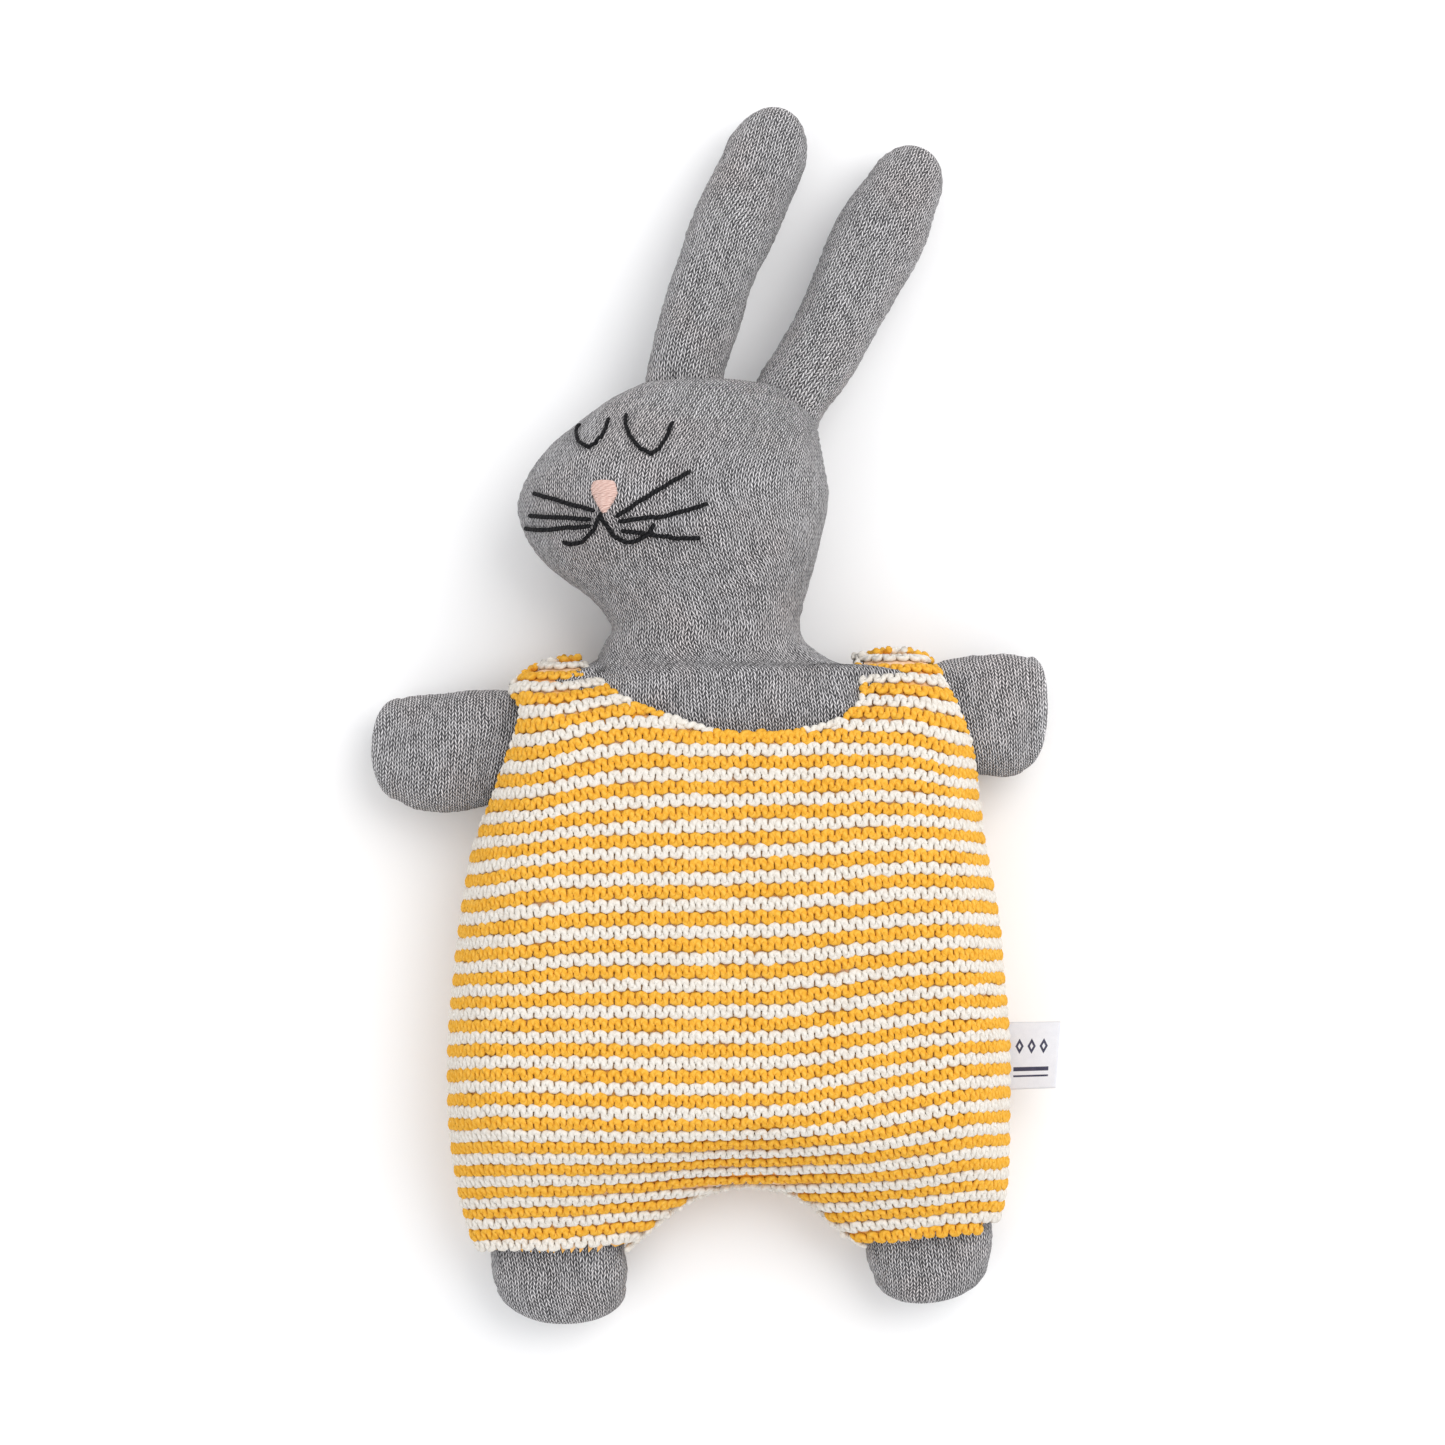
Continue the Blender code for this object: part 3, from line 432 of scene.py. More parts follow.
def label_material():
    """White woven satin tape with a small woven lozenge pattern and a plain band."""
    n = Nodes("woven_label")
    u, v = n.uv()
    place = n.place()
    warp = n.math("MULTIPLY_ADD", n.math("COSINE", n.math("MULTIPLY", u, 2 * math.pi / 0.30)), 0.5, 0.5)
    weft = n.math("MULTIPLY_ADD", n.math("COSINE", n.math("MULTIPLY", v, 2 * math.pi / 0.26)), 0.5, 0.5)
    weave = n.math("MULTIPLY", warp, weft)
    noise = n.noise(place, 500.0, 3.0, 0.6)
    # Painted shade: the gaps between warp and weft threads are darker in the colour and the thread crossings lighter;
    # the noise is the tape's own uneven tone.
    ground = n.ramp(n.math("ADD", n.math("MULTIPLY", weave, 0.6), n.math("MULTIPLY", noise, 0.4)),
                    [(0.1, (0.66, 0.67, 0.72)), (0.8, (0.86, 0.86, 0.89))])
    # Three lozenges side by side, then a band below them.
    cell = n.math("SUBTRACT", n.math("FRACT", n.math("DIVIDE", n.math("SUBTRACT", u, 2.2), 3.9)), 0.5)
    dx = n.math("MULTIPLY", n.math("ABSOLUTE", cell), 3.9)
    dy = n.math("ABSOLUTE", n.math("SUBTRACT", v, 13.6))
    lozenge = n.math("LESS_THAN", n.math("ADD", dx, n.math("MULTIPLY", dy, 0.55)), 1.35)
    hole = n.math("LESS_THAN", n.math("ADD", dx, n.math("MULTIPLY", dy, 0.55)), 0.55)
    lozenge = n.math("SUBTRACT", lozenge, hole)
    within = n.math("MULTIPLY", n.math("GREATER_THAN", u, 2.2), n.math("LESS_THAN", u, 13.9))
    lozenge = n.math("MULTIPLY", lozenge, within)
    band = n.math("LESS_THAN", n.math("ABSOLUTE", n.math("SUBTRACT", v, 6.4)), 0.65)
    band = n.math("MULTIPLY", band, within)
    band2 = n.math("LESS_THAN", n.math("ABSOLUTE", n.math("SUBTRACT", v, 4.2)), 0.3)
    band2 = n.math("MULTIPLY", band2, within)
    ink = n.math("MAXIMUM", lozenge, n.math("MAXIMUM", band, band2))
    color = n.mix(ink, ground, n.ramp(noise, [(0.2, (0.022, 0.024, 0.05)), (0.8, (0.07, 0.068, 0.12))]))
    n.put(n.bsdf.inputs["Base Color"], color)
    n.bump(n.math("ADD", weave, n.math("MULTIPLY", ink, 0.5)), 0.5, 0.00012)
    n.cloth(0.7, 0.15)
    n.bsdf.inputs["Specular IOR Level"].default_value = 0.35
    return n.mat


def floor_material():
    n = Nodes("studio_floor")
    place = n.place()
    noise = n.noise(place, 9.0, 3.0, 0.5)
    n.put(n.bsdf.inputs["Base Color"], n.ramp(noise, [(0.2, (0.93, 0.93, 0.935)), (0.8, (0.94, 0.94, 0.945))]))
    n.bsdf.inputs["Roughness"].default_value = 0.9
    n.bsdf.inputs["Specular IOR Level"].default_value = 0.1
    return n.mat


JERSEY = jersey_material()
YELLOW = yarn_material("yellow_cotton", (0.52, 0.225, 0.015), (0.79, 0.395, 0.036), (0.88, 0.525, 0.098))
IVORY = yarn_material("ivory_cotton", (0.50, 0.42, 0.34), (0.735, 0.69, 0.625), (0.84, 0.805, 0.75))
PAINTED_SHADE_BACKING = painted_shade_backing_material()
BLACK = thread_material("black_floss", (0.003, 0.003, 0.004), (0.018, 0.018, 0.020), 1.5, 0.8, 0.0, 0.12)
PINK = thread_material("pink_floss", (0.56, 0.36, 0.31), (0.80, 0.585, 0.52), 2.2, 0.6, 0.1, 0.35)
LABEL = label_material()

floor_z = -0.02
# The floor is a large plane, so that no edge shows.
fv = np.array([(-6000, -6000, floor_z), (6000, -6000, floor_z), (6000, 6000, floor_z), (-6000, 6000, floor_z)])
floor = new_mesh("floor", fv, np.array([[0, 1, 2, 3]]), floor_material())
floor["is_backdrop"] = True


# ---- the body's outline: where the romper's front and back meet ---------------------
EQUATOR = 26.0
SIDE_R = 28.0
BELLY_TOP, HEM_TOP, SHOULDER_TOP = 62.0, 38.0, 58.0
KNIT, EASE = 3.0, 1.0

SHOULDER_RIGHT_HAND = [(-36.9, 17.2), (-44.5, 18.0), (-54.0, 16.5), (-61.8, 12.6), (-65.2, 8.0)]
SIDE_RIGHT_HAND = [
    (-66.5, 0.0), (-68.6, -10.0), (-71.5, -24.0), (-75.0, -36.0), (-78.0, -50.0),
    (-80.4, -66.0), (-82.2, -82.0), (-83.6, -98.0), (-84.0, -114.0), (-83.4, -130.0),
    (-81.4, -146.0), (-78.8, -158.0), (-75.6, -167.3),
]
CROTCH = [
    (-28.6, -167.8), (-23.5, -163.4), (-17.0, -158.0), (-9.5, -152.6), (0.0, -148.8),
    (9.8, -147.4), (20.0, -148.8), (29.0, -152.6), (35.4, -158.0), (41.0, -163.0),
    (47.0, -166.4),
]
SIDE_LEFT_HAND = [
    (88.6, -159.4), (91.0, -150.0), (91.7, -138.0), (91.8, -122.0), (92.0, -106.0),
    (91.2, -92.0), (89.8, -78.0), (88.6, -64.0), (86.2, -50.0), (83.6, -36.0),
    (82.6, -24.0), (82.2, -13.0), (81.2, -3.0), (78.6, 6.0), (74.4, 13.0),
]
SHOULDER_LEFT_HAND = [(68.6, 17.4), (61.5, 20.2), (53.0, 20.6), (45.0, 18.6), (37.5, 19.0), (32.0, 22.4)]
NECKLINE = [
    (-41.5, 17.9), (-36.2, 11.6), (-28.6, 5.4), (-13.4, -0.8), (2.2, -5.3), (17.0, -5.8),
    (32.4, -3.2), (41.3, 1.2), (45.4, 8.0), (44.0, 18.6),
]
ARMHOLE_RIGHT_HAND = [(-65.2, 8.0), (-61.5, 4.0), (-61.2, -1.0), (-63.5, -8.5), (-67.0, -17.5),
                      (-70.6, -27.0), (-75.0, -36.0)]
ARMHOLE_LEFT_HAND = [(68.6, 17.4), (71.0, 11.0), (74.5, 4.6), (77.4, -2.4), (79.6, -8.0), (82.6, -24.0)]

runs = [
    (resample(SHOULDER_RIGHT_HAND, 1.5), True),
    (resample([SHOULDER_RIGHT_HAND[-1]] + SIDE_RIGHT_HAND, 1.5), True),
    (resample([SIDE_RIGHT_HAND[-1], CROTCH[0]], 1.5), False),
    (resample(CROTCH, 1.5), True),
    (resample([CROTCH[-1], SIDE_LEFT_HAND[0]], 1.5), False),
    (resample(SIDE_LEFT_HAND + [SHOULDER_LEFT_HAND[0]], 1.5), True),
    (resample(SHOULDER_LEFT_HAND, 1.5), True),
    (resample([SHOULDER_LEFT_HAND[-1], SHOULDER_RIGHT_HAND[0]], 1.5), False),
]
outline = np.vstack([pts[:-1] for pts, _ in runs])
seam_a, seam_b = [], []
for pts, closed in runs:
    if closed:
        seam_a += list(pts[:-1])
        seam_b += list(pts[1:])
for a, b in (
    (SIDE_RIGHT_HAND[-1], (-68.0, -215.0)),
    (CROTCH[0], (-34.0, -215.0)),
    (CROTCH[-1], (54.0, -215.0)),
    (SIDE_LEFT_HAND[0], (80.0, -215.0)),
    (SHOULDER_LEFT_HAND[-1], (30.0, 60.0)),
    (SHOULDER_RIGHT_HAND[0], (-38.0, 60.0)),
):
    seam_a.append(a)
    seam_b.append(b)
SEAM_A, SEAM_B = np.array(seam_a, float), np.array(seam_b, float)


def nearest(p, a, b):
    """(distance, direction towards it) from points p (n, 2) to the nearest of the segments a-b."""
    best = np.full(len(p), 1e9)
    out = np.zeros((len(p), 2))
    for i0 in range(0, len(p), 4000):
        q = p[i0 : i0 + 4000]
        d = b - a
        t = np.clip(((q[:, None] - a) * d).sum(2) / (d * d).sum(1), 0, 1)
        foot = a + d * t[..., None]
        gap = np.linalg.norm(foot - q[:, None], axis=2)
        k = gap.argmin(1)
        r = np.arange(len(q))
        best[i0 : i0 + 4000] = gap[r, k]
        v = foot[r, k] - q
        size = np.maximum(gap[r, k], 1e-9)[:, None]
        n = np.stack([d[k, 1], -d[k, 0]], 1)
        n /= np.linalg.norm(n, axis=1)[:, None]
        out[i0 : i0 + 4000] = np.where(gap[r, k][:, None] > 0.02, v / size, n)
    return best, out


def inside(p, polygon):
    """Which of the points p (n, 2) lie inside the polygon."""
    a, b = polygon, np.roll(polygon, -1, axis=0)
    level = a[:, 1] == b[:, 1]
    a, b = a[~level], b[~level]
    slope = (b[:, 0] - a[:, 0]) / (b[:, 1] - a[:, 1])
    odd = np.zeros(len(p), bool)
    for i0 in range(0, len(p), 3000):
        q = p[i0 : i0 + 3000]
        hit = (a[:, 1] > q[:, 1:]) != (b[:, 1] > q[:, 1:])
        x = slope * (q[:, 1:] - a[:, 1]) + a[:, 0]
        odd[i0 : i0 + 3000] = (hit & (q[:, :1] < x)).sum(1) % 2 == 1
    return odd


def crown(y):
    """Height of the romper's front above the side seams, and its slope along y."""
    belly, hem, shoulder = BELLY_TOP - EQUATOR, HEM_TOP - EQUATOR, SHOULDER_TOP - EQUATOR

    def value(y):
        return belly + (hem - belly) * smooth((-118.0 - y) / 48.0) + (shoulder - belly) * smooth((y + 50.0) / 60.0)

    return value(y), (value(y + 0.5) - value(y - 0.5))


NECK = resample(NECKLINE, 1.5)
ARM_R = resample(ARMHOLE_RIGHT_HAND, 1.5)
ARM_L = resample(ARMHOLE_LEFT_HAND, 1.5)
OUT_OF_NECK = np.vstack([NECK, [(32.0, 60.0), (-36.0, 60.0)]])
OUT_OF_RIGHT = np.vstack([ARM_R, [(-110.0, -36.0), (-110.0, 8.0)]])
OUT_OF_LEFT = np.vstack([ARM_L, [(120.0, -24.0), (120.0, 17.4)]])
HEM_R = np.array([SIDE_RIGHT_HAND[-1], CROTCH[0]])
HEM_L = np.array([CROTCH[-1], SIDE_LEFT_HAND[0]])
OPEN_A = np.vstack([NECK[:-1], ARM_R[:-1], ARM_L[:-1], HEM_R[:1], HEM_L[:1]])
OPEN_B = np.vstack([NECK[1:], ARM_R[1:], ARM_L[1:], HEM_R[1:], HEM_L[1:]])


def in_romper(p):
    return inside(p, outline) & ~inside(p, OUT_OF_NECK) & ~inside(p, OUT_OF_RIGHT) & ~inside(p, OUT_OF_LEFT)


def body_surface(p, offset, front, edges=True):
    """(points, normals) of the body's surface this far inside the romper's outer face."""
    near, out = nearest(p, SEAM_A, SEAM_B)
    turn = np.arccos(np.clip(1 - np.minimum(near, SIDE_R) / SIDE_R, -1, 1))
    c, s = np.cos(turn), np.sin(turn)
    high, slope = crown(p[:, 1])
    if not front:
        high, slope = np.full(len(p), EQUATOR + 1.5), np.zeros(len(p))
    # The filling is uneven, and the cloth draws in a little above the crotch.
    dent = 0.0
    if front:
        q = np.stack([p[:, 0], p[:, 1], np.zeros(len(p))], 1)
        dent = 1.1 * lumps(q, 3, 75.0) * s
        fold = np.exp(-(((p[:, 0] - 10) / 40) ** 2) - ((p[:, 1] + 139 + 0.004 * (p[:, 0] - 10) ** 2) / 7) ** 2)
        dent = dent - 1.8 * fold
    curl = 0.0
    if edges:
        e, _ = nearest(p, OPEN_A, OPEN_B)
        curl = 1.8 * (1 - np.sqrt(np.clip(1 - (1 - np.minimum(e, 2.6) / 2.6) ** 2, 0, 1)))
    off = offset + curl
    z = (high + dent - off) * s
    xy = p - out * (off * c)[:, None]
    # On the seam itself the way inwards is the one that stays within the outline.
    for k in np.nonzero(near < 0.05)[0]:
        step = out[k] * (off[k] if np.ndim(off) else off)
        for trial in (-step, step, np.array([0.0, 1.0]) * np.linalg.norm(step)):
            if inside((p[k] + trial)[None], outline)[0]:
                xy[k] = p[k] + trial
                break
    if front:
        z = EQUATOR + z
    else:
        z = np.maximum(EQUATOR - z, off)
    flat = (~front) & (z <= off + 1e-6) if isinstance(front, np.ndarray) else ((not front) & (z <= off + 1e-6))
    b = high
    normal = np.stack(
        [out[:, 0] * b * c, out[:, 1] * b * c - SIDE_R * s * slope * s * (1 if front else 0), SIDE_R * s * (1 if front else -1)],
        1,
    )
    normal[flat] = (0, 0, -1)
    normal /= np.maximum(np.linalg.norm(normal, axis=1), 1e-9)[:, None]
    return np.column_stack([xy, z]), normal


# ---- ridges of the garter knit --------------------------------------------------------
PITCH = 4.08          # one stitch along a ridge
YARN_R = 0.95         # half the thickness of a leg; the loops at each side are fuller
LOOP_R = 1.30
SWING = 1.14          # how far the yarn snakes to each side of its ridge
RIDGE_K = [-4, -2, 0, 2, 5, 8, 11, 14, 16, 18, 20, 22, 24]
RIDGE_Y = [22.9, 9.4, -6.8, -22.4, -46.9, -71.8, -96.9, -120.8, -135.0, -146.4, -158.9, -173.0, -187.0]
SAG_X = [-88, -78, -68, -58, -49, -30, -2, 26, 45, 64, 73, 83, 95]
SAG_K = [-3, 0, 2, 5, 8, 11, 14, 16, 18, 20]
SAG = [
    [-4.2, -4.0, -3.8, -3.1, -3.2, -1.0, 0, -0.5, -0.8, -0.8, -1.4, -2.4, -3.0],
    [-6.2, -5.9, -5.5, -4.7, -3.1, 0.8, 0, 0.3, 0.3, -1.0, -3.4, -5.0, -5.5],
    [-6.2, -6.0, -5.6, -5.1, -3.5, -0.8, 0, 0.4, 0.9, 0.3, -1.2, -2.4, -3.4],
    [-5.4, -4.8, -3.5, -2.0, -1.1, -0.2, 0, 0.9, 2.1, 3.1, 2.9, 1.9, 1.0],
    [-3.8, -3.3, -2.6, -1.7, -0.9, 0.0, 0, 1.0, 2.7, 4.3, 4.7, 4.4, 4.0],
    [-0.4, -0.3, -0.2, -0.1, 0.0, 0.0, 0, 0.9, 3.3, 6.0, 6.9, 7.5, 7.8],
    [0.3, 0.5, 0.8, 0.7, 0.5, 0.1, 0, 1.0, 3.8, 7.3, 8.8, 9.8, 10.4],
    [-0.6, -0.3, 0.0, 0.0, 0.0, -0.3, 0, 1.2, 3.3, 6.5, 8.0, 9.1, 9.6],
    [-3.2, -3.0, -2.7, -2.4, -2.2, -1.9, 0, 0.8, 1.6, 3.6, 4.9, 6.1, 6.6],
    [-3.9, -3.8, -3.6, -3.4, -3.0, -1.9, 0, 1.3, 1.8, 3.6, 4.5, 5.1, 5.4],
]


def ridge_y(x, k):
    """Apparent height of ridge k (whole numbers yellow, halves ivory) at apparent x."""
    base = float(hermite(RIDGE_K, RIDGE_Y, np.array([float(k)]))[0])
    rows = np.asarray(SAG, float)
    at = np.clip(k, SAG_K[0], SAG_K[-1])
    sag = hermite(SAG_K, rows, np.array([float(at)]))[0]
    return base + hermite(SAG_X, sag, x)


GRID_X, GRID_Y = np.arange(-112.0, 122.0, 1.0), np.arange(-216.0, 62.0, 1.0)
gx, gy = np.meshgrid(GRID_X, GRID_Y, indexing="ij")
NEAR_GRID = nearest(np.column_stack([gx.ravel(), gy.ravel()]), SEAM_A, SEAM_B)[0].reshape(gx.shape)


def near_seam(x, y):
    """Distance to the nearest seam, read off a grid."""
    fx = np.clip(x - GRID_X[0], 0, len(GRID_X) - 1.001)
    fy = np.clip(y - GRID_Y[0], 0, len(GRID_Y) - 1.001)
    i, j = fx.astype(int), fy.astype(int)
    a, b = fx - i, fy - j
    g = NEAR_GRID
    return (g[i, j] * (1 - a) + g[i + 1, j] * a) * (1 - b) + (g[i, j + 1] * (1 - a) + g[i + 1, j + 1] * a) * b


def front_height(x, y):
    s = np.sin(np.arccos(np.clip(1 - np.minimum(near_seam(x, y), SIDE_R) / SIDE_R, -1, 1)))
    return EQUATOR + crown(y)[0] * s


def ridge_line(x, k, front):
    """True y of ridge k at true x: the rows on the back run level with those on the front."""
    y = np.full(len(x), float(hermite(RIDGE_K, RIDGE_Y, np.array([float(k)]))[0]))
    for _ in range(3):
        z = front_height(x, y)
        ya = ridge_y(CAM_X + (x - CAM_X) * PLANE / (CAM_Z - z), k)
        y = CAM_Y + (ya - CAM_Y) * (CAM_Z - z) / PLANE
    return y


def row_at(x, y):
    """Which ridge, counted in fractions, passes through the true point x, y."""
    z = front_height(x, y)
    xa = CAM_X + (x - CAM_X) * PLANE / (CAM_Z - z)
    ya = CAM_Y + (y - CAM_Y) * PLANE / (CAM_Z - z)
    ks = np.arange(-5, 25.01, 0.25)
    levels = np.stack([ridge_y(xa, k) for k in ks], 1)
    return np.array([np.interp(-ya[i], -levels[i], ks) for i in range(len(x))])


def ridge_runs(k, front):
    """The stretches of ridge k that lie inside the romper, as (x start, x end)."""
    x = np.arange(-92.0, 98.0, 0.5)
    y = ridge_line(x, k, front)
    p = np.column_stack([x, y])
    ok = in_romper(p) & ((x > 0) | (y > -166.6))
    found = []
    i = 0
    while i < len(x):
        if not ok[i]:
            i += 1
            continue
        j = i
        while j + 1 < len(x) and ok[j + 1]:
            j += 1
        lo, hi = x[i], x[j]
        for side in (0, 1):
            a, b = (x[i - 1], x[i]) if side == 0 else (x[j + 1], x[j])
            for _ in range(9):
                m = (a + b) / 2
                if in_romper(np.array([[m, np.interp(m, x, y)]]))[0]:
                    b = m
                else:
                    a = m
            if side == 0:
                lo = b
            else:
                hi = b
        if hi - lo > 3.5:
            found.append((lo, hi, x, y))
        i = j + 1
    return found


def tube(centre, side, up, rx, ry, around, u):
    """Rings of points round a centreline, with u along it. Returns verts, quads and uv per loop."""
    n = len(centre)
    ang = 2 * math.pi * np.arange(around) / around
    ring = (
        centre[:, None]
        + side[:, None] * (np.cos(ang)[None, :, None] * rx[:, None, None])
        + up[:, None] * (np.sin(ang)[None, :, None] * ry[:, None, None])
    )
    verts = ring.reshape(-1, 3)
    i, j = np.meshgrid(np.arange(n - 1), np.arange(around), indexing="ij")
    j2 = (j + 1) % around
    quads = np.stack([i * around + j, i * around + j2, (i + 1) * around + j2, (i + 1) * around + j], -1).reshape(-1, 4)
    v0, v1 = j / around, (j + 1) / around
    u0, u1 = u[i], u[i + 1]
    uv = np.stack([u0, v0, u0, v1, u1, v1, u1, v0], -1).reshape(-1, 2)
    return verts, quads, uv


def frames(centre, normal):
    along = np.gradient(centre, axis=0)
    along /= np.maximum(np.linalg.norm(along, axis=1), 1e-9)[:, None]
    side = np.cross(normal, along)
    side /= np.maximum(np.linalg.norm(side, axis=1), 1e-9)[:, None]
    up = np.cross(along, side)
    return along, side, up


def ridge_yarn(k, front, index, steps=11, around=7):
    """The snaking yarn of one ridge, as tubes. Returns a list of (verts, quads, uv)."""
    made = []
    for lo, hi, xs, ys in ridge_runs(k, front):
        t = np.linspace(0, 1, 900)
        x = lo + (hi - lo) * (1 - np.cos(math.pi * t)) / 2
        y = np.interp(x, xs, ys)
        base, normal = body_surface(np.column_stack([x, y]), 0.62, front)
        length = np.concatenate([[0], np.cumsum(np.linalg.norm(np.diff(base, axis=0), axis=1))])
        total = length[-1]
        if total < 4.0:
            continue
        mid = np.interp(5.0, x, length) if lo < 5.0 < hi else (0.0 if lo > 5.0 else total)
        s = np.arange(0, total, PITCH / steps)
        seed = index * 7 + (0 if front else 500)
        phase = 2 * math.pi * ((s - mid) / PITCH + 0.035 * wander(s, seed, 46.0) + 0.10 * wander(s - mid, 900 + (0 if front else 1), 60.0)) + 0.5
        wave = np.sin(phase)
        snake = np.tanh(2.0 * wave) / np.tanh(2.0)
        amount = SWING * (1 + 0.16 * wander(s, seed + 1, 11.0))
        # The loops are rounder than a sine: each leg leans out over its neighbour.
        lean = -0.44 * np.sin(2 * phase)
        rise = 0.30 * np.sqrt(np.clip(1 - snake**2, 0, 1)) - 0.06 * np.abs(snake) ** 3
        shift = 0.30 * wander(s, seed + 2, 30.0) + 0.16 * wander(s, seed + 3, 5.0)
        ends = np.minimum(s, total - s)
        rise = rise - 0.5 * np.exp(-ends / 1.5)
        at = np.clip(s + lean, 0, total)
        p = np.stack([np.interp(at, length, base[:, c]) for c in range(3)], 1)
        nn = np.stack([np.interp(at, length, normal[:, c]) for c in range(3)], 1)
        nn /= np.linalg.norm(nn, axis=1)[:, None]
        d = np.gradient(base, length, axis=0)
        d = np.stack([np.interp(at, length, d[:, c]) for c in range(3)], 1)
        d /= np.maximum(np.linalg.norm(d, axis=1), 1e-9)[:, None]
        b = np.cross(nn, d)
        b /= np.maximum(np.linalg.norm(b, axis=1), 1e-9)[:, None]
        # The rows on the legs and at the shoulders lie closer together than on the belly.
        gap = row_gap(x, y, k, front)
        squeeze = np.clip(np.interp(at, length, gap) / 4.15, 0.55, 1.15)
        centre = p + b * ((amount * snake) * squeeze + shift)[:, None] + nn * rise[:, None]
        if not front:
            centre[:, 2] = np.maximum(centre[:, 2], YARN_R * 0.95)
        along, side, up = frames(centre, nn)
        even = (1 + 0.07 * wander(s, seed + 4, 7.0)) * (0.62 + 0.38 * squeeze)
        full = np.abs(snake) ** 1.5
        r = (YARN_R * 0.87 * (1 - full) + LOOP_R * full) * even
        deep = YARN_R * even
        for width in (r, deep):
            width[0], width[-1] = 0.02, 0.02
            if len(width) > 6:
                width[1], width[-2] = width[1] * 0.75, width[-2] * 0.75
        walk = np.concatenate([[0], np.cumsum(np.linalg.norm(np.diff(centre, axis=0), axis=1))])
        made.append(tube(centre, side, up, r, deep, around, walk))
    return made


def row_gap(x, y, k, front):
    """Distance along the surface from this ridge to the next, for each point."""
    y2 = ridge_line(x, k + 0.5, front)
    y1 = ridge_line(x, k - 0.5, front)
    slope = crown(y)[1] if front else 0.0
    s = np.sin(np.arccos(np.clip(1 - np.minimum(near_seam(x, y), SIDE_R) / SIDE_R, -1, 1)))
    return np.abs(y1 - y2) / 2 * np.sqrt(1 + (slope * s) ** 2)


def join(parts, mat, name):
    verts, quads, uvs, total = [], [], [], 0
    for v, q, uv in parts:
        verts.append(v)
        quads.append(q + total)
        uvs.append(uv)
        total += len(v)
    verts = np.vstack(verts)
    verts[:, 2] = np.maximum(verts[:, 2], 0.02)
    obj = new_mesh(name, verts, np.vstack(quads), mat)
    set_uv(obj, np.vstack(uvs))
    return obj


def flat_points(spacing):
    """Points over the body's outline, closer together near the seams, for a sheet."""
    found = [outline]
    for deg in (14, 27, 40, 53, 66, 79):
        depth = SIDE_R * (1 - math.cos(math.radians(deg)))
        a, b = np.roll(outline, 1, axis=0), np.roll(outline, -1, axis=0)
        d = b - a
        inward = np.stack([-d[:, 1], d[:, 0]], 1)
        inward /= np.linalg.norm(inward, axis=1)[:, None]
        p = outline + inward * depth
        step = max(1, int(round(min(depth, 3.0) / 1.5)))
        p = p[::step]
        p = p[inside(p, outline)]
        near, _ = nearest(p, SEAM_A, SEAM_B)
        found.append(p[near > depth * 0.96])
    rows = []
    for r, y in enumerate(np.arange(-172.0, 24.0, spacing * 0.87)):
        x = np.arange(-90.0, 96.0, spacing) + (spacing / 2 if r % 2 else 0)
        rows.append(np.column_stack([x, np.full(len(x), y)]))
    p = np.vstack(rows)
    p = p[inside(p, outline)]
    near, _ = nearest(p, SEAM_A, SEAM_B)
    found.append(p[near > 24.0])
    return found


def sheet_mesh(name, offset, front, mat, keep, edge_lines=(), spacing=4.0):
    """One layer of cloth over the body's front or back. Returns its flat points and triangles."""
    pieces = flat_points(spacing)
    points = list(map(Vector, pieces[0].tolist()))
    edges = [(i, (i + 1) % len(points)) for i in range(len(points))]
    for line in edge_lines:
        first = len(points)
        points += [Vector(p) for p in line[1:-1].tolist()]
        chain = [int(np.argmin(np.linalg.norm(pieces[0] - line[0], axis=1)))]
        chain += list(range(first, len(points)))
        chain.append(int(np.argmin(np.linalg.norm(pieces[0] - line[-1], axis=1))))
        edges += list(zip(chain, chain[1:]))
    fixed = np.array([tuple(p) for p in points])
    extra = np.vstack(pieces[1:])
    keep_mask = np.ones(len(extra), bool)
    for i0 in range(0, len(extra), 2000):
        gap = np.linalg.norm(extra[i0 : i0 + 2000, None] - fixed[None], axis=2).min(1)
        near, _ = nearest(extra[i0 : i0 + 2000], SEAM_A, SEAM_B)
        keep_mask[i0 : i0 + 2000] = gap > np.minimum(0.35 * near + 0.1, 1.0)
    points += [Vector(p) for p in extra[keep_mask].tolist()]
    out, _, tris, *_ = delaunay_2d_cdt(points, edges, [], 0, 1e-5)
    p = np.array([tuple(v) for v in out])
    tris = np.array([t for t in tris if len(t) == 3])
    mid = p[tris].mean(1)
    tris = tris[keep(mid)]
    a, b, c = p[tris[:, 0]], p[tris[:, 1]], p[tris[:, 2]]
    turn = (b[:, 0] - a[:, 0]) * (c[:, 1] - a[:, 1]) - (b[:, 1] - a[:, 1]) * (c[:, 0] - a[:, 0])
    tris = tris[np.abs(turn) > 1e-6]
    turn = turn[np.abs(turn) > 1e-6]
    if front:
        tris = np.where((turn < 0)[:, None], tris[:, ::-1], tris)
    else:
        tris = np.where((turn > 0)[:, None], tris[:, ::-1], tris)
    used, tris = np.unique(tris, return_inverse=True)
    tris = tris.reshape(-1, 3)
    p = p[used]
    return p, tris


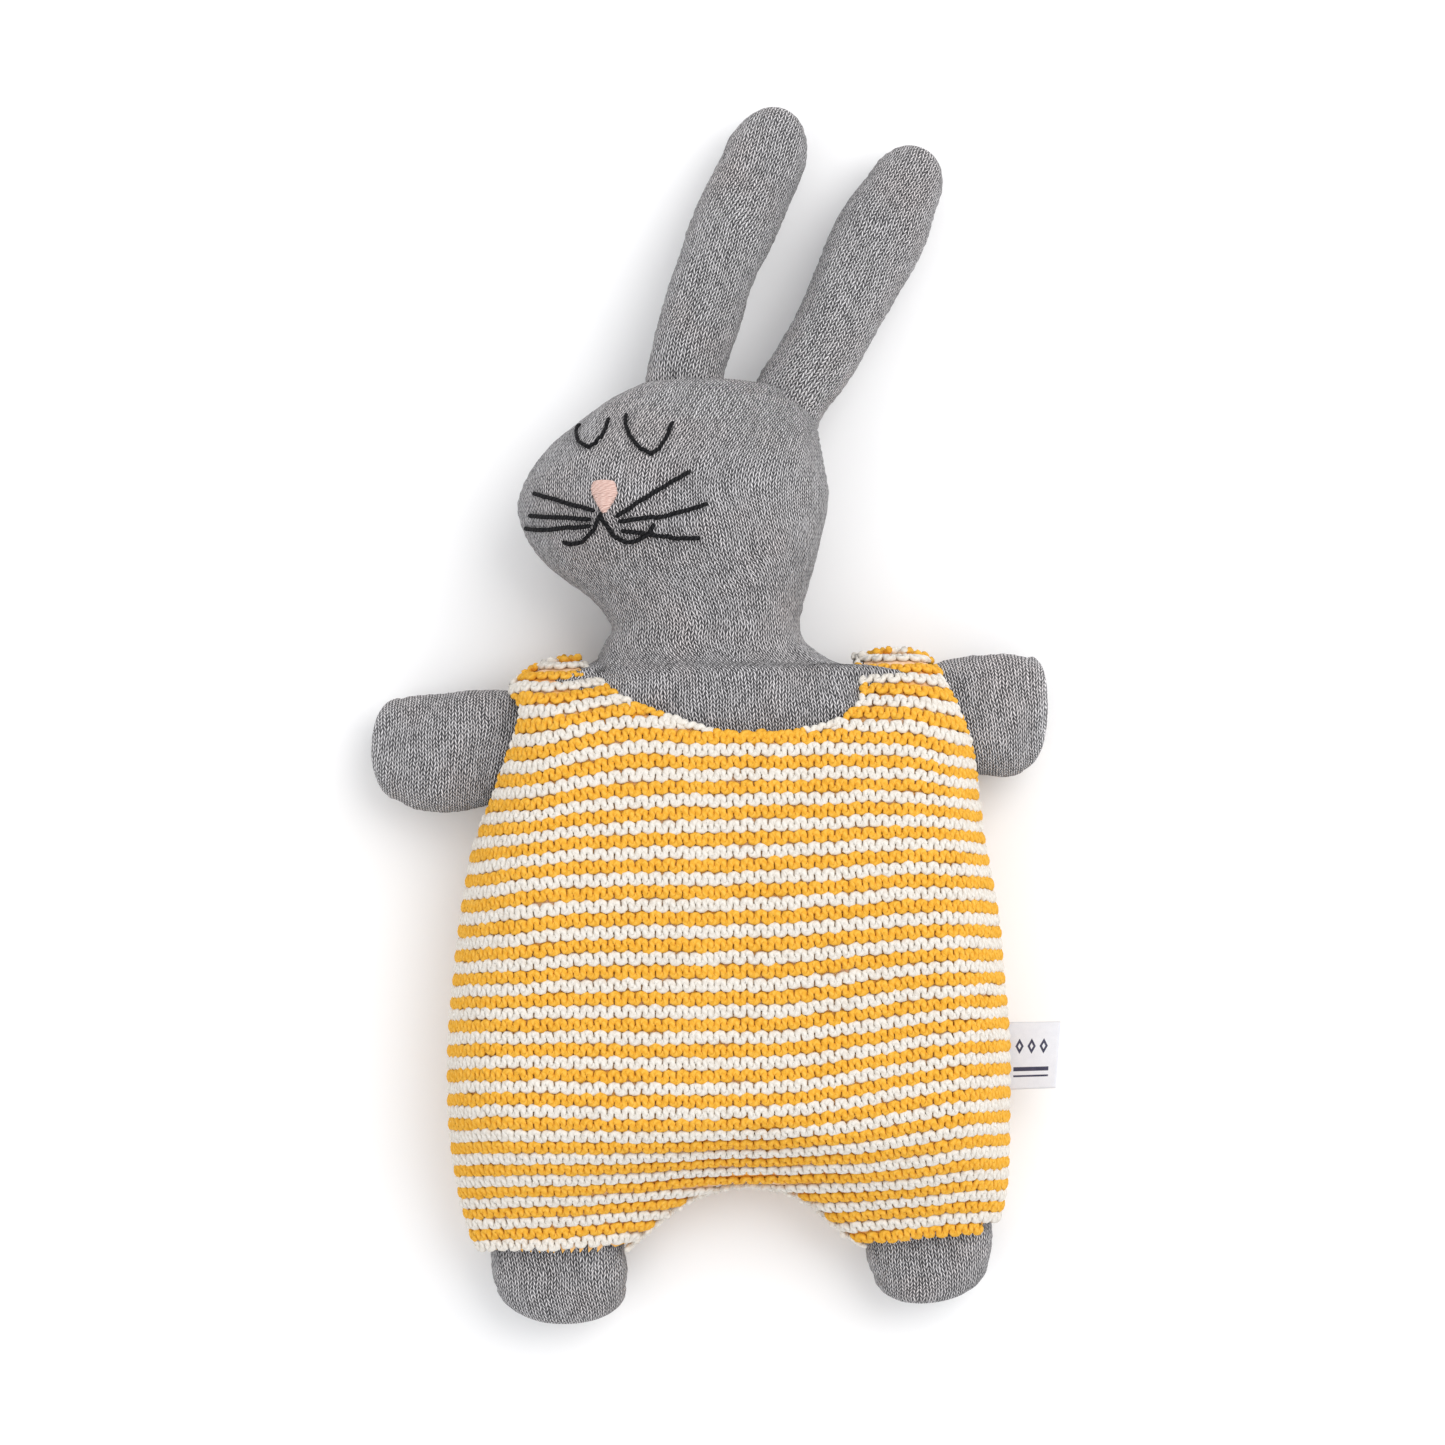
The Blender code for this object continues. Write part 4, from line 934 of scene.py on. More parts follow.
def edge_yarn(line, seed, wave_z, wave_out, radius, pitch, lift=0.2, colours=None):
    """The loops that show along a seam: a yarn that swings over it from front to back.

    colours: shares of the line's length at which the colour changes, or None for one colour.
    Returns (yellow parts, ivory parts).
    """
    path = resample(line, 0.35)
    total = np.concatenate([[0], np.cumsum(np.linalg.norm(np.diff(path, axis=0), axis=1))])
    along = np.gradient(path, axis=0)
    along /= np.linalg.norm(along, axis=1)[:, None]
    out = np.stack([along[:, 1], -along[:, 0]], 1)
    s = total
    phase = 2 * math.pi * s / pitch + 0.8 * wander(s, seed, 12.0)
    reach = lift - radius * 0.55 + wave_out * (0.5 - 0.5 * np.cos(2 * phase)) + 0.35 * wander(s, seed + 1, 6.0)
    z = EQUATOR + wave_z * np.sin(phase) + 0.3 * wander(s, seed + 2, 9.0)
    shift = 0.3 * np.sin(2 * phase)
    centre = np.column_stack([path + out * reach[:, None] + along * shift[:, None], z])
    normal = np.column_stack([out, np.full(len(out), 0.35)])
    walk = np.concatenate([[0], np.cumsum(np.linalg.norm(np.diff(centre, axis=0), axis=1))])
    cuts = [0.0] + list(colours or []) + [1.0]
    parts = ([], [])
    for i in range(len(cuts) - 1):
        a = int(round(cuts[i] * (len(path) - 1)))
        b = int(round(cuts[i + 1] * (len(path) - 1))) + 1
        if b - a < 5:
            continue
        _, side, up = frames(centre[a:b], normal[a:b])
        r = radius * (1 + 0.1 * wander(s[a:b], seed + 3 + i, 4.0))
        r[0] = r[-1] = 0.05
        r[1] *= 0.7
        r[-2] *= 0.7
        parts[i % 2].append(tube(centre[a:b], side, up, r, r, 8, walk[a:b]))
    return parts


def border_yarn(line, front, seed, radius=1.0):
    """The edge stitches of an opening: each row's end turned over the edge, in the row's colour.

    Returns (yellow parts, ivory parts).
    """
    path = resample(line, 0.3)
    s = np.concatenate([[0], np.cumsum(np.linalg.norm(np.diff(path, axis=0), axis=1))])
    points, normals = body_surface(path, 0.75, front, edges=False)
    along, side, _ = frames(points, normals)
    phase = 2 * math.pi * s / 2.7 + 0.9 * wander(s, seed, 9.0)
    centre = points + side * (0.42 * np.sin(phase) + 0.3 * wander(s, seed + 1, 7.0))[:, None]
    centre = centre + normals * (0.22 * np.cos(phase) - 0.25)[:, None]
    row = np.round(row_at(path[:, 0], path[:, 1]) * 2).astype(int) % 2
    walk = np.concatenate([[0], np.cumsum(np.linalg.norm(np.diff(centre, axis=0), axis=1))])
    parts = ([], [])
    i = 0
    while i < len(row):
        j = i
        while j + 1 < len(row) and row[j + 1] == row[i]:
            j += 1
        a, b = max(0, i - 2), min(len(row), j + 3)
        if b - a > 6:
            _, sd, up = frames(centre[a:b], normals[a:b])
            r = radius * (1 + 0.1 * wander(s[a:b], seed + i, 3.0))
            r[0] = r[-1] = 0.05
            r[1] *= 0.7
            r[-2] *= 0.7
            parts[row[i]].append(tube(centre[a:b], sd, up, r, r * 0.95, 8, walk[a:b]))
        i = j + 1
    return parts


STRAP_TOP_RIGHT = [(-42.0, 18.0), (-48.0, 17.9), (-55.0, 16.2), (-61.2, 12.6), (-64.8, 8.6)]
STRAP_TOP_LEFT = [(68.2, 17.4), (61.5, 20.1), (54.0, 20.6), (47.0, 19.4), (42.5, 18.6)]
EDGES = {"yellow": [], "ivory": []}
for line, seed, wave_z, wave_out, radius, pitch, lift, colours, first in (
    # Each strap's top, front and back knitted as one, rolls over the shoulder in loose loops.
    (STRAP_TOP_RIGHT, 71, 2.4, 0.9, 1.15, 4.4, 0.1, (0.30, 0.55, 0.80), "yellow"),
    (STRAP_TOP_LEFT, 73, 2.4, 0.9, 1.15, 4.4, 0.1, (0.34, 0.52, 0.80), "yellow"),
    # The crotch's edge is a thin ivory one.
    (CROTCH, 75, 1.5, 0.25, 0.95, 4.1, 0.35, None, "ivory"),
):
    got = edge_yarn(line, seed, wave_z, wave_out, radius, pitch, lift, colours)
    other = "ivory" if first == "yellow" else "yellow"
    EDGES[first] += got[0]
    EDGES[other] += got[1]

BORDERS = {}
for front in (True, False):
    BORDERS[front] = {"yellow": [], "ivory": []}
    for seed, line in ((81, NECKLINE), (82, ARMHOLE_RIGHT_HAND), (83, ARMHOLE_LEFT_HAND)):
        got = border_yarn(line, front, seed + (0 if front else 10))
        BORDERS[front]["yellow"] += got[0]
        BORDERS[front]["ivory"] += got[1]

romper_pieces = {}
for front in (True, False):
    tag = "front" if front else "back"
    # The ground sheet under the ridges is painted shade: it is coloured as the dark, browned yarn seen deep in the
    # slits between the ridges.
    p, tris = sheet_mesh("x", 0, front, PAINTED_SHADE_BACKING, lambda q: in_romper(q) & (nearest(q, OPEN_A, OPEN_B)[0] > 1.3), (NECK, ARM_R, ARM_L))
    pts, _ = body_surface(p, 1.35, front)
    # Which stripe each point lies in, from the rows either side of it.
    stripe = 0.5 + 0.5 * np.cos(2 * math.pi * row_at(p[:, 0], p[:, 1]))
    base = new_mesh(f"romper_{tag}_ground", pts, tris, PAINTED_SHADE_BACKING)
    point_attribute(base, "stripe", smooth((stripe - 0.35) / 0.3))
    yarn = {"yellow": [], "ivory": []}
    for index, k in enumerate(np.arange(-5, 24.01, 0.5)):
        colour = "yellow" if abs(k - round(k)) < 0.01 else "ivory"
        steps, around = (11, 7) if front else (9, 6)
        yarn[colour] += ridge_yarn(float(k), front, index, steps, around)
    for colour in EDGES:
        yarn[colour] += BORDERS[front][colour]
        if front:
            yarn[colour] += EDGES[colour]
    objs = []
    for colour, mat in (("yellow", YELLOW), ("ivory", IVORY)):
        obj = join(yarn[colour], mat, f"romper_{tag}_{colour}_ridges")
        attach(obj, "torso")
        objs.append(obj)
    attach(base, "torso")
    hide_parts(f"romper_{tag}")
    romper_pieces[tag] = (base, objs)


# ---- jersey skins ------------------------------------------------------------------------
WALE, COURSE = 1.85, 1.42


def loft(name, stations, tip=None, tip_power=2.3, around=96, spacing=1.3, bump=None, lump=0.5, seed=1,
         wale=WALE, course=COURSE, ground=0.3, crosswise=False, under=None, settle=None):
    """A stuffed tube of jersey through stations.

    stations: (left x, left y, right x, right y, top, bottom, centre height, squareness), given
    as they appear from above. tip = (x, y, z): the point where the last section closes.
    """
    st = np.asarray(stations, float)
    left = np.array([seen(x, y, z) for x, y, z in st[:, [0, 1, 6]]])
    right = np.array([seen(x, y, z) for x, y, z in st[:, [2, 3, 6]]])
    data = np.column_stack([left, right, st[:, 4:]])
    mid = (data[:, :2] + data[:, 2:4]) / 2
    t = np.concatenate([[0], np.cumsum(np.linalg.norm(np.diff(np.column_stack([mid, data[:, 6]]), axis=0), axis=1))])
    n = max(4, int(round(t[-1] / spacing)))
    rows = hermite(t, data, np.linspace(0, t[-1], n + 1))
    if tip is not None:
        tx, ty = seen(tip[0], tip[1], tip[2])
        last = rows[-1]
        c0 = np.array([(last[0] + last[2]) / 2, (last[1] + last[3]) / 2, last[6]])
        half = np.array([(last[2] - last[0]) / 2, (last[3] - last[1]) / 2])
        end = np.array([tx, ty, tip[2]])
        reach = np.linalg.norm(end - c0)
        m = max(6, int(round(reach / spacing * 1.5)))
        extra = []
        for i in range(1, m + 1):
            th = math.pi / 2 * i / m
            a = math.sin(th) ** (2 / tip_power)
            k = max(0.0, math.cos(th)) ** (2 / tip_power)
            if i == m:
                a, k = 1.0, 0.012
            c = c0 + (end - c0) * a
            extra.append([c[0] - half[0] * k, c[1] - half[1] * k, c[0] + half[0] * k, c[1] + half[1] * k,
                          last[4] * k, last[5] * k, c[2], last[7]])
        rows = np.vstack([rows, extra])
    ang = 2 * math.pi * np.arange(around) / around + 0.5 * math.pi  # starts at the top
    c, d = np.cos(ang), np.sin(ang)
    e = 2.0 / rows[:, 7][:, None]
    w = np.sign(c) * np.abs(c) ** e
    h = np.sign(d) * np.abs(d) ** e
    cx, cy = (rows[:, 0] + rows[:, 2]) / 2, (rows[:, 1] + rows[:, 3]) / 2
    hx, hy = (rows[:, 2] - rows[:, 0]) / 2, (rows[:, 3] - rows[:, 1]) / 2
    x = cx[:, None] + hx[:, None] * w
    y = cy[:, None] + hy[:, None] * w
    z = rows[:, 6][:, None] + np.where(h > 0, rows[:, 4][:, None], rows[:, 5][:, None]) * h
    pts = np.stack([x, y, z], -1)
    if bump is not None:
        pts[..., 2] += bump(pts[..., 0], pts[..., 1]) * np.clip((pts[..., 2] - rows[:, 6][:, None]) / 12.0, 0, 1)
    if settle is not None:
        pts[..., 2] += settle(pts, rows)
    # Uneven filling, along the surface's own direction.
    centre = np.stack([cx, cy, rows[:, 6]], 1)[:, None]
    away = pts - centre
    size = np.linalg.norm(away, axis=2, keepdims=True)
    pts = pts + away / np.maximum(size, 1e-6) * (lump * lumps(pts.reshape(-1, 3), seed, 34.0)).reshape(pts.shape[:2])[..., None] * np.clip(size / 8.0, 0, 1)
    # Courses stand a little proud of one another, and the cloth puckers between the stitches.
    walk = np.concatenate([[0], np.cumsum(np.linalg.norm(np.diff(pts.mean(1), axis=0), axis=1))])
    flat = pts.reshape(-1, 3)
    drift = lumps(flat, seed + 5, 30.0).reshape(pts.shape[:2])
    ripple = 0.15 * np.sin(2 * math.pi * walk[:, None] / 3.1 + 3.0 * drift) * (0.6 + 0.4 * drift)
    ripple = ripple + 0.13 * lumps(flat, seed + 6, 4.6).reshape(pts.shape[:2])
    pts = pts + away / np.maximum(size, 1e-6) * ripple[..., None] * np.clip(size / 8.0, 0, 1)
    pts[..., 2] = np.maximum(pts[..., 2], ground)
    if under is not None:
        pts = under(pts)
    rings, k = pts.shape[:2]
    # Wales are counted round each section from the top, courses along the middle.
    seg = np.linalg.norm(np.roll(pts, -1, axis=1) - pts, axis=2)
    fwd = np.concatenate([np.zeros((rings, 1)), np.cumsum(seg, axis=1)], axis=1)  # k + 1 columns
    whole = fwd[:, -1:]
    half_way = k // 2
    u = fwd.copy()
    u_back = fwd - whole
    v = np.concatenate([[0], np.cumsum(np.linalg.norm(np.diff(pts.mean(1), axis=0), axis=1))])
    verts = pts.reshape(-1, 3)
    i, j = np.meshgrid(np.arange(rings - 1), np.arange(k), indexing="ij")
    j2 = (j + 1) % k
    quads = np.stack([i * k + j, i * k + j2, (i + 1) * k + j2, (i + 1) * k + j], -1).reshape(-1, 4)
    use = np.where(j < half_way, 0, 1)
    ua = np.where(use == 0, u[i, j], u_back[i, j])
    ub = np.where(use == 0, u[i, j + 1], u_back[i, j + 1])
    uc = np.where(use == 0, u[i + 1, j + 1], u_back[i + 1, j + 1])
    ud = np.where(use == 0, u[i + 1, j], u_back[i + 1, j])
    va, vb = v[i] / course, v[i + 1] / course
    uv = np.stack([ua / wale, va, ub / wale, va, uc / wale, vb, ud / wale, vb], -1).reshape(-1, 2)
    if crosswise:  # the wales run across this limb, as they do down the body it was cut with
        uv = np.column_stack([uv[:, 1] * course / wale, uv[:, 0] * wale / course])
    faces = [quads]
    cap_uv = []
    for ring, flip in ((0, True), (rings - 1, False)):
        c0 = len(verts)
        verts = np.vstack([verts, pts[ring].mean(0)[None]])
        a = ring * k + np.arange(k)
        b = ring * k + (np.arange(k) + 1) % k
        tri = np.stack([a, b, np.full(k, c0)], 1) if not flip else np.stack([b, a, np.full(k, c0)], 1)
        faces.append(tri)
        cap_uv.append(np.tile([[0.0, 0.0]], (3 * k, 1)) + ring * 0.3)
    obj = new_mesh(name, verts, faces, JERSEY)
    set_uv(obj, np.vstack([uv] + cap_uv))
    # Outward faces, whichever way the stations run.
    import bmesh

    bm = bmesh.new()
    bm.from_mesh(obj.data)
    bmesh.ops.recalc_face_normals(bm, faces=bm.faces)
    bm.to_mesh(obj.data)
    bm.free()
    obj.data.shade_smooth()
    return obj


def muzzle(x, y):
    """The snout stands proud of the head, to the toy's right, with the brow above it."""
    snout = np.exp(-(((x + 35) / 21) ** 2) - ((y - 63) / 17) ** 2)
    brow = np.exp(-(((x + 18) / 30) ** 2) - ((y - 82) / 20) ** 2)
    chin = np.exp(-(((x + 30) / 22) ** 2) - ((y - 43) / 8) ** 2)
    return 5.5 * snout + 1.5 * brow - 1.6 * chin


def neck_slope(pts, rows):
    """How far the top moves so that the shoulders run into the neck in one long slope."""
    y_mid = (rows[:, 1] + rows[:, 3]) / 2
    table = np.column_stack([(rows[:, 0] + rows[:, 2]) / 2, (rows[:, 2] - rows[:, 0]) / 2, rows[:, 4], rows[:, 6], rows[:, 7]])

    def height(x, y):
        cx, half, top, level, square = [np.interp(y, y_mid, table[:, i]) for i in range(5)]
        rest = np.clip(1 - np.abs((x - cx) / half) ** square, 0, 1)
        return level + top * rest ** (1 / square), rest

    x, y = pts[..., 0], pts[..., 1]
    here, rest = height(x, y)
    total, weight = np.zeros_like(x), np.full_like(x, 1e-9)
    for dy in np.linspace(-15, 15, 21):
        h, r = height(x, y + dy)
        g = np.exp(-((dy / 7.5) ** 2)) * smooth(r / 0.3)
        total, weight = total + g * h, weight + g
    share = smooth((y + 2.0) / 8.0) * smooth((38.0 - y) / 9.0) * smooth(rest / 0.45)
    share = share * (pts[..., 2] > rows[:, 6][:, None])
    return share * (total / weight - here)


def under_romper(pts):
    """Keeps the chest just beneath the romper's straps and neckline."""
    flat = pts.reshape(-1, 3).copy()
    low = flat[:, 1] < 26.0
    q = flat[low]
    near, _ = nearest(q[:, :2], SEAM_A, SEAM_B)
    near = np.where(inside(q[:, :2], np.vstack([outline, [(32.0, 22.4), (32.0, 60.0), (-37.0, 60.0), (-36.9, 17.2)]]))
                    | inside(q[:, :2], outline), near, 0.0)
    s = np.sin(np.arccos(np.clip(1 - np.minimum(near, SIDE_R) / SIDE_R, -1, 1)))
    high = crown(q[:, 1])[0]
    free = 14.0 * smooth((q[:, 1] - 10.0) / 14.0)
    top = EQUATOR + (high - 3.0) * s + free
    q[:, 2] = np.where(q[:, 2] > EQUATOR, np.minimum(q[:, 2], np.maximum(top, EQUATOR)), q[:, 2])
    flat[low] = q
    return flat.reshape(pts.shape)


HEAD = [
    # left x, left y, right x, right y, top, bottom, centre height, squareness
    (-62.0, -24.0, 78.0, -24.0, 27.5, 22.0, 26.0, 3.2),
    (-62.5, -6.0, 76.5, -6.0, 27.8, 22.0, 26.0, 3.1),
    (-61.0, 4.0, 73.5, 4.5, 27.5, 22.0, 26.0, 3.0),
    (-57.0, 10.0, 68.5, 11.0, 27.2, 22.0, 26.0, 2.9),
    (-50.0, 13.0, 60.5, 15.2, 26.6, 22.0, 26.2, 2.75),
    (-43.5, 14.6, 51.5, 16.0, 25.8, 22.2, 26.6, 2.6),
    (-38.4, 17.0, 40.8, 16.2, 25.0, 22.4, 27.2, 2.45),
    (-36.2, 20.2, 32.2, 19.6, 24.0, 22.6, 28.0, 2.3),
    (-34.3, 23.6, 27.4, 23.6, 23.6, 23.0, 28.2, 2.2),
    (-32.5, 27.2, 26.0, 28.2, 24.2, 23.6, 28.6, 2.15),
    (-34.6, 31.5, 26.5, 33.5, 25.8, 24.6, 28.8, 2.15),
    (-39.6, 37.2, 28.2, 40.4, 28.6, 26.0, 29.2, 2.15),
    (-46.0, 41.8, 30.2, 46.5, 31.0, 27.0, 29.8, 2.15),
    (-52.0, 46.4, 32.0, 52.4, 32.8, 28.0, 30.2, 2.15),
    (-57.2, 52.0, 33.6, 60.0, 34.0, 29.2, 30.8, 2.15),
    (-60.4, 58.3, 34.6, 66.0, 34.0, 30.2, 31.0, 2.15),
    (-62.3, 65.8, 34.9, 71.0, 33.4, 30.4, 31.2, 2.15),
    (-61.2, 71.0, 34.2, 76.0, 32.4, 30.0, 31.2, 2.15),
    (-58.0, 77.0, 33.4, 81.0, 31.0, 29.2, 31.1, 2.15),
    (-53.0, 83.0, 32.6, 85.0, 29.4, 27.8, 31.0, 2.15),
    (-46.0, 89.6, 31.8, 89.2, 27.0, 25.6, 30.8, 2.15),
    (-38.4, 95.8, 30.6, 93.0, 23.8, 22.8, 30.6, 2.15),
    (-31.0, 100.4, 28.0, 96.6, 20.0, 19.4, 30.4, 2.1),
    (-25.0, 103.0, 24.0, 99.2, 16.4, 16.0, 30.2, 2.1),
]
head = loft("head_and_chest_skin", HEAD, tip=(4.0, 105.6, 30.2), tip_power=1.9, around=170, spacing=0.85,
            bump=muzzle, lump=0.55, seed=11, under=under_romper, settle=neck_slope)
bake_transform(head)
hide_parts("head_cover", "head_filling")

EAR_RIGHT = [
    (-25.0, 90.0, 2.6, 88.0, 9.5, 9.5, 30.0, 2.2),
    (-22.8, 98.0, 2.2, 96.0, 9.8, 9.8, 30.0, 2.2),
    (-22.3, 106.6, 2.2, 105.0, 10.0, 10.0, 29.8, 2.2),
    (-19.5, 119.2, 4.5, 114.3, 10.2, 10.0, 29.0, 2.2),
    (-16.4, 128.2, 7.7, 123.3, 10.6, 10.2, 28.0, 2.2),
    (-11.9, 142.2, 11.8, 136.1, 11.0, 10.6, 26.0, 2.2),
    (-8.2, 154.2, 17.6, 148.0, 11.4, 11.0, 23.6, 2.2),
    (-3.4, 166.2, 22.8, 159.3, 11.6, 11.2, 21.0, 2.2),
    (1.4, 175.2, 26.6, 168.6, 11.0, 10.6, 18.8, 2.2),
]
EAR_LEFT = [
    (9.0, 88.6, 28.2, 77.8, 9.5, 9.5, 29.0, 2.2),
    (10.8, 95.6, 30.2, 85.8, 9.8, 9.8, 29.0, 2.2),
    (12.0, 103.6, 33.2, 93.4, 10.0, 10.0, 28.8, 2.2),
    (18.9, 115.6, 41.3, 104.5, 10.4, 10.2, 27.6, 2.2),
    (27.7, 132.2, 50.7, 121.1, 11.0, 10.6, 25.2, 2.2),
    (32.5, 143.2, 56.6, 131.0, 11.4, 11.0, 23.2, 2.2),
    (35.9, 152.0, 61.3, 139.1, 11.6, 11.2, 21.4, 2.2),
    (41.1, 161.4, 65.9, 148.9, 11.6, 11.2, 19.2, 2.2),
    (47.6, 169.2, 68.6, 158.0, 11.0, 10.6, 17.2, 2.2),
]
ears = (
    ("right", EAR_RIGHT, (20.4, 190.6, 14.6), (-8.0, 116.0, 29.5), (0.355, 0.935, -0.190)),
    ("left", EAR_LEFT, (65.5, 177.6, 13.6), (27.6, 107.5, 28.5), (0.438, 0.899, -0.195)),
)
for side, stations, tip, at, u in ears:
    skin = loft(f"ear_skin_{side}", stations, tip=tip, tip_power=2.0, around=84, spacing=0.85, lump=0.4,
                seed=21 if side == "right" else 22)
    at, u = Vector(at) * MM, Vector(u).normalized()
    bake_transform(skin)
    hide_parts(f"ear_cover_{side}", f"ear_filling_{side}")

ARM_RIGHT = [
    (-54.0, 3.0, -56.0, -20.0, 10.0, 10.0, 27.0, 2.5),
    (-60.0, 6.0, -63.5, -24.0, 11.0, 11.0, 26.4, 2.5),
    (-64.0, 7.6, -69.0, -26.8, 11.8, 11.6, 25.4, 2.5),
    (-72.0, 8.0, -75.4, -28.3, 13.0, 12.8, 23.6, 2.5),
    (-80.3, 8.0, -82.2, -29.4, 13.8, 13.4, 21.6, 2.5),
    (-88.0, 7.3, -89.0, -29.7, 14.0, 13.4, 19.6, 2.5),
    (-94.4, 6.6, -95.2, -28.8, 13.6, 13.0, 18.0, 2.5),
    (-98.6, 5.2, -99.6, -26.4, 12.6, 12.2, 17.0, 2.5),
]
ARM_LEFT = [
    (62.0, -14.0, 60.0, 10.0, 10.0, 10.0, 28.0, 2.5),
    (70.0, -16.0, 65.0, 14.6, 11.0, 11.0, 27.0, 2.5),
    (77.0, -17.4, 69.4, 16.8, 12.0, 11.8, 25.6, 2.5),
    (83.2, -18.3, 77.0, 18.6, 13.0, 12.8, 24.0, 2.5),
    (89.4, -18.8, 84.6, 19.4, 13.4, 13.0, 22.2, 2.5),
    (94.6, -17.8, 92.4, 19.6, 13.4, 12.8, 20.2, 2.5),
    (97.6, -15.8, 97.6, 18.2, 12.6, 12.2, 18.8, 2.5),
]
arms = (
    ("right", ARM_RIGHT, (-108.0, -9.6, 15.2), (-70.5, -10.3, 25.5), (-1.0, -0.02, -0.26), 2.1),
    ("left", ARM_LEFT, (103.9, 3.4, 17.4), (80.0, 0.6, 25.5), (1.0, 0.02, -0.30), 2.1),
)
for side, stations, tip, at, u, power in arms:
    skin = loft(f"arm_skin_{side}", stations, tip=tip, tip_power=power, around=90, spacing=0.85, lump=0.45,
                seed=31 if side == "right" else 32, crosswise=True)
    at, u = Vector(at) * MM, Vector(u).normalized()
    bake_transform(skin)
    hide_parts(f"arm_cover_{side}", f"arm_filling_{side}")

FOOT_RIGHT = [
    (-69.0, -140.0, -36.0, -140.0, 12.0, 12.0, 22.0, 2.4),
    (-70.0, -152.0, -31.0, -152.0, 11.6, 12.0, 20.0, 2.4),
    (-70.4, -162.0, -29.4, -162.0, 11.8, 12.2, 18.8, 2.4),
    (-70.4, -169.0, -28.6, -168.6, 12.6, 12.8, 18.2, 2.4),
    (-69.9, -175.6, -28.0, -174.4, 13.0, 13.0, 17.8, 2.35),
    (-68.8, -179.2, -28.8, -178.6, 12.4, 12.6, 17.5, 2.3),
]
FOOT_LEFT = [
    (45.0, -138.0, 82.0, -134.0, 12.0, 12.0, 22.0, 2.4),
    (45.6, -150.0, 83.6, -144.0, 11.6, 12.0, 20.0, 2.4),
    (46.4, -160.0, 85.2, -153.0, 11.8, 12.2, 18.8, 2.4),
    (46.8, -166.4, 86.4, -160.0, 12.6, 12.8, 18.2, 2.4),
    (47.6, -171.6, 86.4, -166.4, 13.0, 13.0, 17.8, 2.35),
    (49.4, -175.2, 85.2, -171.4, 12.4, 12.6, 17.5, 2.3),
]
feet = (
    ("right", FOOT_RIGHT, (-46.9, -190.4, 17.0), (-51.2, -168.8, 18.4), (-0.03, -1.0, -0.05)),
    ("left", FOOT_LEFT, (67.4, -183.8, 17.0), (67.2, -165.2, 18.4), (0.10, -1.0, -0.05)),
)
for side, stations, tip, at, u in feet:
    skin = loft(f"foot_skin_{side}", stations, tip=tip, tip_power=2.0, around=90, spacing=0.85, lump=0.4,
                seed=41 if side == "right" else 42)
    at, u = Vector(at) * MM, Vector(u).normalized()
    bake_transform(skin)
    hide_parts(f"foot_cover_{side}", f"foot_filling_{side}")

# The body inside the romper, one closed bag.
p, tris = sheet_mesh("x", 0, True, JERSEY, lambda q: inside(q, outline), (), 6.0)
INNER = 5.2
top, _ = body_surface(p, INNER, True, edges=False)
low, _ = body_surface(p, INNER, False, edges=False)
near, _ = nearest(p, SEAM_A, SEAM_B)
count = len(p)
on_seam = near < 1e-3
low_index = np.where(on_seam, np.arange(count), np.arange(count) + count)
edge_pairs = {}
for t in tris:
    for a, b in ((t[0], t[1]), (t[1], t[2]), (t[2], t[0])):
        edge_pairs[(int(a), int(b))] = True
rim = [(a, b) for a, b in edge_pairs if (b, a) not in edge_pairs and not (on_seam[a] and on_seam[b])]
walls = [[a, b, low_index[b], low_index[a]] for a, b in rim]
faces = [tris, low_index[tris][:, ::-1]]
wall_tris = []
for a, b, c, d in walls:
    for t in ((a, c, b), (a, d, c)):
        if len(set(t)) == 3:
            wall_tris.append(t)
faces.append(np.array(wall_tris))
body = new_mesh("body_skin", np.vstack([top, low]), faces, JERSEY)
all_faces = np.vstack(faces)
pp = np.vstack([top, low])[all_faces.ravel()]
set_uv(body, np.column_stack([pp[:, 0] / WALE, pp[:, 1] / COURSE]))
import bmesh

bm = bmesh.new()
bm.from_mesh(body.data)
loose = [v for v in bm.verts if not v.link_faces]
bmesh.ops.delete(bm, geom=loose, context="VERTS")
bmesh.ops.recalc_face_normals(bm, faces=bm.faces)
bm.to_mesh(body.data)
bm.free()
body.data.shade_smooth()
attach(body, "torso")
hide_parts("torso_cover", "torso_filling")


# ---- face embroidery ----------------------------------------------------------------------
bpy.context.view_layer.update()
head_tree = BVHTree.FromPolygons(
    [tuple(v.co) for v in head.data.vertices], [tuple(f.vertices) for f in head.data.polygons]
)


def on_head(xa, ya):
    """(point, normal) in millimetres of the head's surface at an apparent x, y."""
    z = 60.0
    for _ in range(4):
        x, y = seen(xa, ya, z)
        hit, normal, *_ = head_tree.ray_cast(Vector((x * MM, y * MM, 0.3)), Vector((0, 0, -1)))
        z = hit.z / MM
    if normal.z < 0:
        normal = -normal
    return np.array(hit) / MM, np.array(normal)


